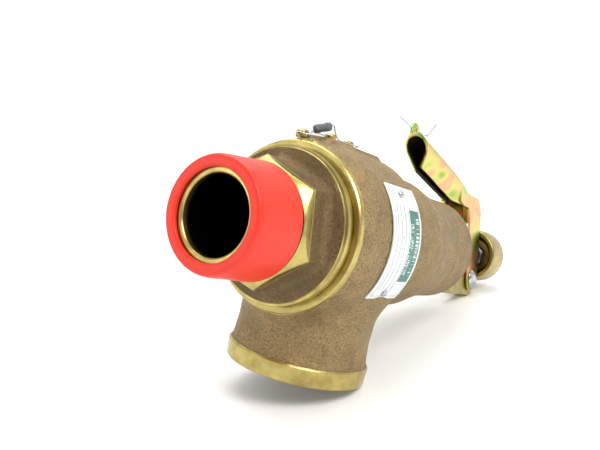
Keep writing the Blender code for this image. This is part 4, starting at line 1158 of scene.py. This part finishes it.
def lead_seal():
    """Cast lead slug squeezed flat across the middle by the sealing press."""
    profile = [(0.0, 4.3, 0), (1.9, 4.3, 0.6), (2.2, 2.0), (2.2, -2.0), (1.9, -4.3, 0.6), (0.0, -4.3, 0)]
    slug = turned("lead_seal_slug", profile, 48)
    remeshed(slug, 0.22)
    for v in slug.data.vertices:
        squeeze = 0.82 + 0.18 * min(abs(v.co.z) / 3.0, 1.0)
        lumps = noise.noise(v.co * 1.1) * 0.10 + noise.noise(v.co * 3.3) * 0.05
        side = Vector((v.co.x, v.co.y, 0.0))
        v.co.x *= squeeze
        if side.length > 0.1:
            v.co += side.normalized() * (lumps - 0.05)
    turn = LEAD_SEAL_ALONG.to_track_quat("Z", "Y").to_matrix().to_4x4()
    moved(slug, Matrix.Translation(LEAD_SEAL) @ turn)
    return show(slug, VALVE, "valve", "lead", "lead_seal", "lead", 60.0)


def nameplate():
    """Thin plate bent round the barrel, with rolled edges and a map for its print."""
    inner, bevel = BARREL_R + GAP, 0.22
    top = inner + PLATE_THICK
    across, around = 24, 96
    rows = [(inner, PLATE_LOW, 0.0), (inner, PLATE_HIGH, 1.0)]
    rows += [(top - bevel, PLATE_HIGH, 1.0), (top, PLATE_HIGH - bevel, 0.995)]
    for i in range(across - 1, 0, -1):
        rows.append((top, PLATE_LOW + (PLATE_HIGH - PLATE_LOW) * i / across, i / across))
    rows += [(top, PLATE_LOW + bevel, 0.005), (top - bevel, PLATE_LOW, 0.0)]
    points, uvs = [], []
    for k in range(around + 1):
        share = k / around
        a = math.radians(PLATE_START + (PLATE_END - PLATE_START) * share)
        points += [(r * math.cos(a), r * math.sin(a), z) for r, z, _ in rows]
        uvs += [(u, share) for _, _, u in rows]
    plate = new_object("nameplate_printed", points, skin_faces(len(rows), around + 1))
    layer = plate.data.uv_layers.new(name="print")
    for loop in plate.data.loops:
        layer.data[loop.index].uv = uvs[loop.vertex_index]
    evened(plate, 0.0)
    return show(plate, VALVE, "valve", "plate", "nameplate", "plate", 30.0)


def plate_screw(name, turn):
    """Slotted drive screw in one end of the nameplate, at a turn in degrees."""
    base = BARREL_R + 2 * GAP + PLATE_THICK
    profile = [(0.0, base + 1.1, 0), (0.9, base + 1.0, 0.8), (1.7, base + 0.5, 0.6)]
    profile += [(1.9, base, 0.05), (0.0, base, 0)]
    screw = turned(name + "_head", profile, 40)
    slot = block("slot", (-3.0, -0.2, base + 0.75), (3.0, 0.2, base + 2.0))
    own_way = 0.7 + turn  # radians, so that no two slots point alike
    boolean(screw, "DIFFERENCE", moved(slot, Matrix.Rotation(own_way, 4, "Z")))
    moved(screw, placed((0, 0, 90.0), ("Z", turn), ("Y", 90)))
    return show(screw, VALVE, "valve", "steel", name, "steel", 30.0)


# ---------------------------------------------------------------- lever end


def plate_across(name, outline, low, high):
    """Solid between two values of x from a (y, z) outline."""
    return skinned(name, [[(x, y, z) for y, z in outline] for x in (low, high)])


def lever_cap():
    """Turned cap with its cast pivot lug, edges softened, then the holes drilled."""
    low = NECK_TOP_Z + GAP
    cap = turned(
        "lever_cap_turned",
        [
            (0.0, CAP_TOP_Z, 0), (CAP_NOSE_R - 1.4, CAP_TOP_Z, 1.0),
            (CAP_NOSE_R, CAP_TOP_Z - 1.4, 1.0), (23.1, CAP_SHOULDER_Z + 1.4, 3.0),
            (23.8, CAP_SHOULDER_Z - 0.8, 3.0), (23.8, low + 0.3), (23.5, low), (0.0, low, 0),
        ],
        96,
    )
    inner = PIVOT_Y - 11.6
    outline = [
        (inner, CAP_TOP_Z - 2.6), (inner, PIVOT_Z + 5.6), (inner + 3.6, PIVOT_Z + 9.2),
        (PIVOT_Y + 7.6, PIVOT_Z + 9.2), *arc((PIVOT_Y, PIVOT_Z), 13.0, 40, -20, 10),
        (30.8, 268.0), (28.4, 260.0), (23.4, 250.0), (18.8, 250.0), (15.2, CAP_TOP_Z - 4.0),
    ]
    boolean(cap, "UNION", plate_across("lug", outline, -5.6, 5.6))
    remeshed(cap, 0.62, 5)
    bore = turned(
        "bore",
        [
            (0.0, CAP_ROOF_Z, 0), (CAP_NOSE_R - 4.0, CAP_ROOF_Z), (20.7, CAP_SHOULDER_Z - 5.0),
            (20.7, 220.0), (0.0, 220.0, 0),
        ],
        96,
    )
    across = moved(rod("pivot_hole", 3.5, -20.0, 20.0), LAID_PIVOT)
    boolean(cap, "DIFFERENCE", bore, rod("spindle_hole", 6.2, 255.0, 275.0), across)
    for turn in (90, 270):
        point = placed((0, 0, 231.5), ("Z", turn), ("X", 90))
        boolean(cap, "DIFFERENCE", moved(rod("screw_hole", 2.5, 18.0, 26.0, 24), point))
    return show(cap, CAP, "valve", "old_brass", "lever_cap", "brass", 40.0)


def sheet_section(half_width, crown, lip, near, far):
    """Section of the folded sheet as (sideways, outward) points, from lip to lip and back."""
    radius = half_width - SHEET / 2
    sides = []
    for side, height in ((1, near), (-1, far)):
        drop = Vector((lip, height - crown))
        turn = math.atan2(drop.y, drop.x) + math.acos(min(radius / drop.length, 1.0))
        normal = Vector((side * math.cos(turn), math.sin(turn)))
        sides.append((Vector((side * lip, height)), normal, math.degrees(turn)))
    (near_lip, near_normal, start), (far_lip, far_normal, end) = sides
    half = SHEET / 2
    outer = arc((0.0, crown), radius + half, start, 180 - end, 28)
    inner = arc((0.0, crown), radius - half, 180 - end, start, 28)
    lips = [near_lip + half * near_normal, far_lip + half * far_normal]
    lips += [far_lip - half * far_normal, near_lip - half * near_normal]
    return [lips[0], *outer, lips[1], lips[2], *inner, lips[3]]


HANDLE_ROWS = (  # distance along, then half width, crown, lip and the two lips' heights
    (0.0, 8.0, 13.4, 1.4, 2.4, 0.0), (16.0, 8.0, 13.4, 1.5, 2.2, 0.0),
    (38.0, 8.0, 13.3, 1.7, 1.6, 0.0), (58.0, 7.9, 13.0, 2.4, 0.8, 0.4),
    (74.0, 7.9, 11.2, 6.7, 2.0, 3.0), (90.0, 7.9, 7.0, 6.9, 4.4, 4.4),
)


def handle():
    """Folded sheet whose section changes along it, with its end cut on a slant."""
    across = Vector((1, 0, 0))
    columns = [np.array(c) for c in zip(*HANDLE_ROWS)]
    rings = []
    for distance in np.linspace(0.0, HANDLE_LENGTH, 31):
        sizes = [float(np.interp(distance, columns[0], c)) for c in columns[1:]]
        slant = 0.72 * max(1.0 - distance / 30.0, 0.0)
        ring = []
        for u, v in sheet_section(*sizes):
            along = HANDLE_ALONG * (float(distance) - slant * v)
            ring.append(HANDLE_START + along + HANDLE_OUT * v + across * u)
        rings.append(ring)
    return skinned("lever_pressed", rings)


def in_shaded_fold(at, facing):
    """True inside the handle's fold, whose faces get a nearly black painted shade for the shade that falls inside the
    fold.
    """
    rise = at - HANDLE_START
    distance = rise.dot(HANDLE_ALONG)
    outward = rise.dot(HANDLE_OUT)
    stations, _, crowns = list(zip(*HANDLE_ROWS))[:3]
    crown = float(np.interp(distance, stations, crowns))
    if not -13.0 < distance < 74.0:  # past this the fold has opened out
        return False
    if outward > crown:
        return math.hypot(at.x, outward - crown) < 6.5
    return abs(at.x) < 6.45 and facing.x * at.x < 0.0


def lever():
    """Pressed sheet lever: fold, bend and prongs joined, then every edge eased."""
    made = handle()
    back = 312.3
    bend = arc((-30.0, back - 13.0), 13.0, 180, 90, 14)
    eye = arc((PIVOT_Y + 0.6, PIVOT_Z), 8.4, 0, -90, 14)
    notch = arc((-29.4, 281.0), 4.6, 90, 180, 8)
    side = [
        (-45.8, 264.0),
        *bend,
        (PIVOT_Y + 2.4, back), (PIVOT_Y + 7.4, back - 4.5),
        *eye,
        (8.0, 289.4), (-23.0, 287.6),
        *notch,
        (-34.2, 272.0), (-37.0, 264.0),
    ]
    outer = arc((-30.0, back - 13.0), 12.8, 180, 90, 14)
    inner = arc((-30.0, back - 13.0), 12.8 - SHEET, 90, 180, 14)
    web = [(-44.4, 277.0), *outer, (-24.0, back - 0.2), (-24.0, back - 0.2 - SHEET)]
    web += [*inner, (-42.4, 277.0)]
    ear_y, ear_z = EAR_HOLE
    ear = [(-62.0, ear_z + 6.0), (-62.0, ear_z - 6.0), *arc((ear_y + 1.4, ear_z), 6.0, -90, -270, 16)]
    boolean(
        made,
        "UNION",
        plate_across("near", side, 6.0, 8.0),
        plate_across("far", side, -8.0, -6.0),
        plate_across("web", web, -7.7, 7.7),
        plate_across("ear", ear, -7.4, -5.6),
    )
    remeshed(made, 0.42, 3)
    hole = moved(rod("pin_hole", 3.5, -20.0, 20.0), LAID_PIVOT)
    eyelet = moved(rod("ear_hole", 1.5, -12.0, 0.0, 24), placed((0, ear_y, ear_z), ("Y", 90)))
    boolean(made, "DIFFERENCE", hole, eyelet)
    inside = [face.index for face in made.data.polygons if in_shaded_fold(face.center, face.normal)]
    show(made, CAP, "lift_lever", "zinc", "lever", "yellow_zinc", 40.0)
    # Painted shade: the faces found inside the fold take this nearly black second finish.
    made.data.materials.append(PAINTS["fold_shade_paint"])
    for index in inside:
        made.data.polygons[index].material_index = 1
    return made


def lever_wire():
    """Short tie wire left through the eyelet in the lever's ear."""
    ear_y, ear_z = EAR_HOLE
    points = [
        (-15.0, ear_y - 8.0, ear_z - 7.0), (-10.5, ear_y - 3.4, ear_z - 2.4),
        (-7.4, ear_y, ear_z), (-5.0, ear_y + 0.2, ear_z + 0.2), (-1.0, ear_y + 3.0, ear_z + 1.0),
        (3.6, ear_y + 4.0, ear_z - 1.4), (7.0, ear_y + 2.0, ear_z - 4.4),
        (11.0, ear_y - 1.6, ear_z - 7.0),
    ]
    wire = tube("lever_wire_round", smooth_route(points, 10), 0.3, 10)
    return show(wire, CAP, "lift_lever", "bright", "lever_wire", "bright_zinc", 60.0)


def lift_knob():
    """Cup-shaped knob, hollow on the side that the lever's prongs lift."""
    floor = KNOB_Z + 11.0
    profile = [
        (5.1, KNOB_TOP_Z - 2.0, 0.2), (8.0, KNOB_TOP_Z - 2.0, 0.3), (8.6, KNOB_TOP_Z, 0.3),
        (15.0, KNOB_TOP_Z, 1.5), (18.6, KNOB_TOP_Z - 1.6, 2.5), (KNOB_R, KNOB_TOP_Z - 5.0, 2.5),
        (KNOB_R, KNOB_Z + 1.0, 0.5), (KNOB_R - 1.0, KNOB_Z, 0.5), (17.4, KNOB_Z, 0.3),
        (16.6, KNOB_Z + 0.8, 0.6), (15.2, floor - 2.0, 1.5), (13.2, floor, 1.0),
        (5.1, floor, 0.2),
    ]
    knob = turned("lift_knob_turned", profile, 144)
    return show(knob, CAP, "spindle_line", "old_brass", "lift_knob", "brass", 30.0)


def pivot_parts():
    """Headed pin through the lug and the plain washer at its far end."""
    head = 8.3
    profile = [(0.0, head + 2.8, 0), (3.0, head + 2.6, 2.0), (6.4, head + 1.6, 2.0)]
    profile += [(8.0, head + 0.4, 0.4), (8.0, head, 0.1), (3.2, head, 0.1), (3.2, -15.0, 0.2)]
    profile += [(2.6, -15.6, 0.2), (0.0, -15.6, 0)]
    pin = moved(turned("pivot_pin_headed", profile, 64), LAID_PIVOT)
    cotter = moved(rod("cotter_hole", 1.1, -8.0, 8.0, 16), placed((-12.8, PIVOT_Y, PIVOT_Z)))
    boolean(pin, "DIFFERENCE", cotter)
    show(pin, CAP, "valve", "pin_plate", "pivot_pin", "bright_zinc", 30.0)
    profile = [(3.5, head + 1.4, 0.1), (7.0, head + 1.4, 0.3), (7.0, head, 0.3), (3.5, head, 0.1)]
    ring = turned("pivot_washer_plain", profile, 64)
    moved(ring, placed((0, PIVOT_Y, PIVOT_Z), ("Y", -90)))
    show(ring, CAP, "valve", "bright", "pivot_washer", "bright_zinc", 30.0)


def carry_over():
    """CAD nodes that stay as they are and get a finish of their own."""
    steel = ("seat_disc", "spindle", "lower_spring_washer", "upper_spring_washer")
    steel += ("compression_screw", "jam_nut", "cap_set_screw_1", "cap_set_screw_2")
    finishes = {
        "brass": ("nozzle_ring", "guide", "guide_ring", "disc_holder"),
        "steel": steel,
        "spring": ("knob_lock_nut",),
        "bright": ("split_pin",),
    }
    for paint, names in finishes.items():
        for name in names:
            frame["nodes"][name].material_slots[0].material = PAINTS[paint]


def spring():
    """The CAD's coil, which shortens between its washers as the spindle lifts."""
    coil = linked("spring_wound", frame["nodes"]["spring"].data.copy())
    coil.data.materials.clear()
    coil.data.materials.append(PAINTS["spring"])
    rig.replaces(coil, "spring")
    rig.slot(coil, "spring_steel")
    low, high = (VALVE @ Vector((0, 0, z)) for z in (SPRING_LOW_Z, SPRING_HIGH_Z))
    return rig.blend(coil, "spindle_line", "valve", low, high)


# ---------------------------------------------------------------- floor, light and camera


def floor_paint():
    paint = Paint("pale_floor", roughness=0.55)
    paint.set("Emission Color", (1.0, 1.0, 1.0))
    ground = paint.node("ShaderNodeTexCoord").outputs["Object"]
    away = paint.node("ShaderNodeVectorMath", ground, operation="LENGTH").outputs["Value"]
    paint.set("Emission Strength", paint.blend(paint.step(away, 0.25, 1.5), 0.06, 0.60))
    tones = [(0.3, (0.90, 0.90, 0.895)), (0.7, (0.93, 0.93, 0.925))]
    paint.set("Base Color", paint.ramp(paint.noise(90.0, 2.0, 0.5), tones))
    return paint.material


def stage():
    """Pale floor just under the valve, running out to where it is as bright as the backdrop."""
    reach, below = 14.0, -0.0002
    corners = [(reach * x, reach * y, below) for x, y in ((-1, -1), (1, -1), (1, 1), (-1, 1))]
    floor = new_object("floor", corners, [(0, 1, 2, 3)])
    floor.data.materials.append(floor_paint())
    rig.stage(floor)


def area_light(name, at, target, size, power):
    light = bpy.data.lights.new(name, "AREA")
    light.shape = "RECTANGLE"
    light.size, light.size_y = size
    light.energy = power
    lamp = linked(name, light)
    lamp.location = at
    lamp.rotation_euler = (Vector(target) - Vector(at)).to_track_quat("-Z", "Y").to_euler()


def lights():
    """White studio with one dim side that only the valve sees, and three soft lamps."""
    world = bpy.data.worlds.new("studio")
    bpy.context.scene.world = world
    world.use_nodes = True
    sky = Nodes(world.node_tree)
    generated = sky.node("ShaderNodeTexCoord").outputs["Generated"]
    toward = sky.node("ShaderNodeVectorMath", generated, DARK_SIDE, operation="DOT_PRODUCT")
    light = sky.step(toward.outputs["Value"], -0.1, 0.9, 1.0, 0.30)
    light = sky.either(sky.node("ShaderNodeLightPath").outputs["Is Camera Ray"], light)
    backdrop = sky.tree.nodes["Background"]
    sky.feed(backdrop.inputs["Color"], (1.0, 1.0, 1.0))
    sky.feed(backdrop.inputs["Strength"], light)
    area_light("key", (0.55, -0.30, 0.65), (0.0, -0.03, 0.05), (0.40, 0.40), 5.5)
    area_light("top", (-0.15, 0.15, 0.90), (0.0, 0.0, 0.03), (0.7, 0.7), 4.5)
    area_light("front", (-0.45, -0.75, 0.30), (0.0, -0.08, 0.05), (0.4, 0.3), 0.9)


def camera():
    """Close view from in front of the inlet, a little above and to the nameplate's side."""
    lens = bpy.data.cameras.new("camera")
    lens.lens = 39.46
    lens.sensor_width = 36.0
    lens.clip_start = 0.01
    lens.clip_end = 50.0
    eye = linked("camera", lens)
    turn = VALVE.to_3x3().normalized()
    right = (turn @ CAMERA_RIGHT).normalized()
    ahead = (turn @ CAMERA_AHEAD).normalized()
    up = right.cross(ahead).normalized()
    ahead = up.cross(right)
    look = Matrix((right, up, -ahead)).transposed().to_4x4()
    eye.matrix_world = Matrix.Translation(VALVE @ CAMERA_AT) @ look
    bpy.context.scene.camera = eye
    bpy.context.scene.view_settings.view_transform = "Standard"


# ---------------------------------------------------------------- assembly

camera()
lights()
stage()
carry_over()
spring()
body_casting()
inlet_nozzle()
thread_protector()
for screw_name in LOCK_SCREWS:
    lock_screw(screw_name)
seal_wire()
lead_seal()
nameplate()
plate_screw("nameplate_screw_1", -37.0)
plate_screw("nameplate_screw_2", 28.0)
lever_cap()
lever()
lever_wire()
lift_knob()
pivot_parts()

sizes = {"cad": [list(c) for c in CAD_BOX], "visual": [list(c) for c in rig.bounds()]}
with open("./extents.json", "w") as out_file:
    json.dump(sizes, out_file)
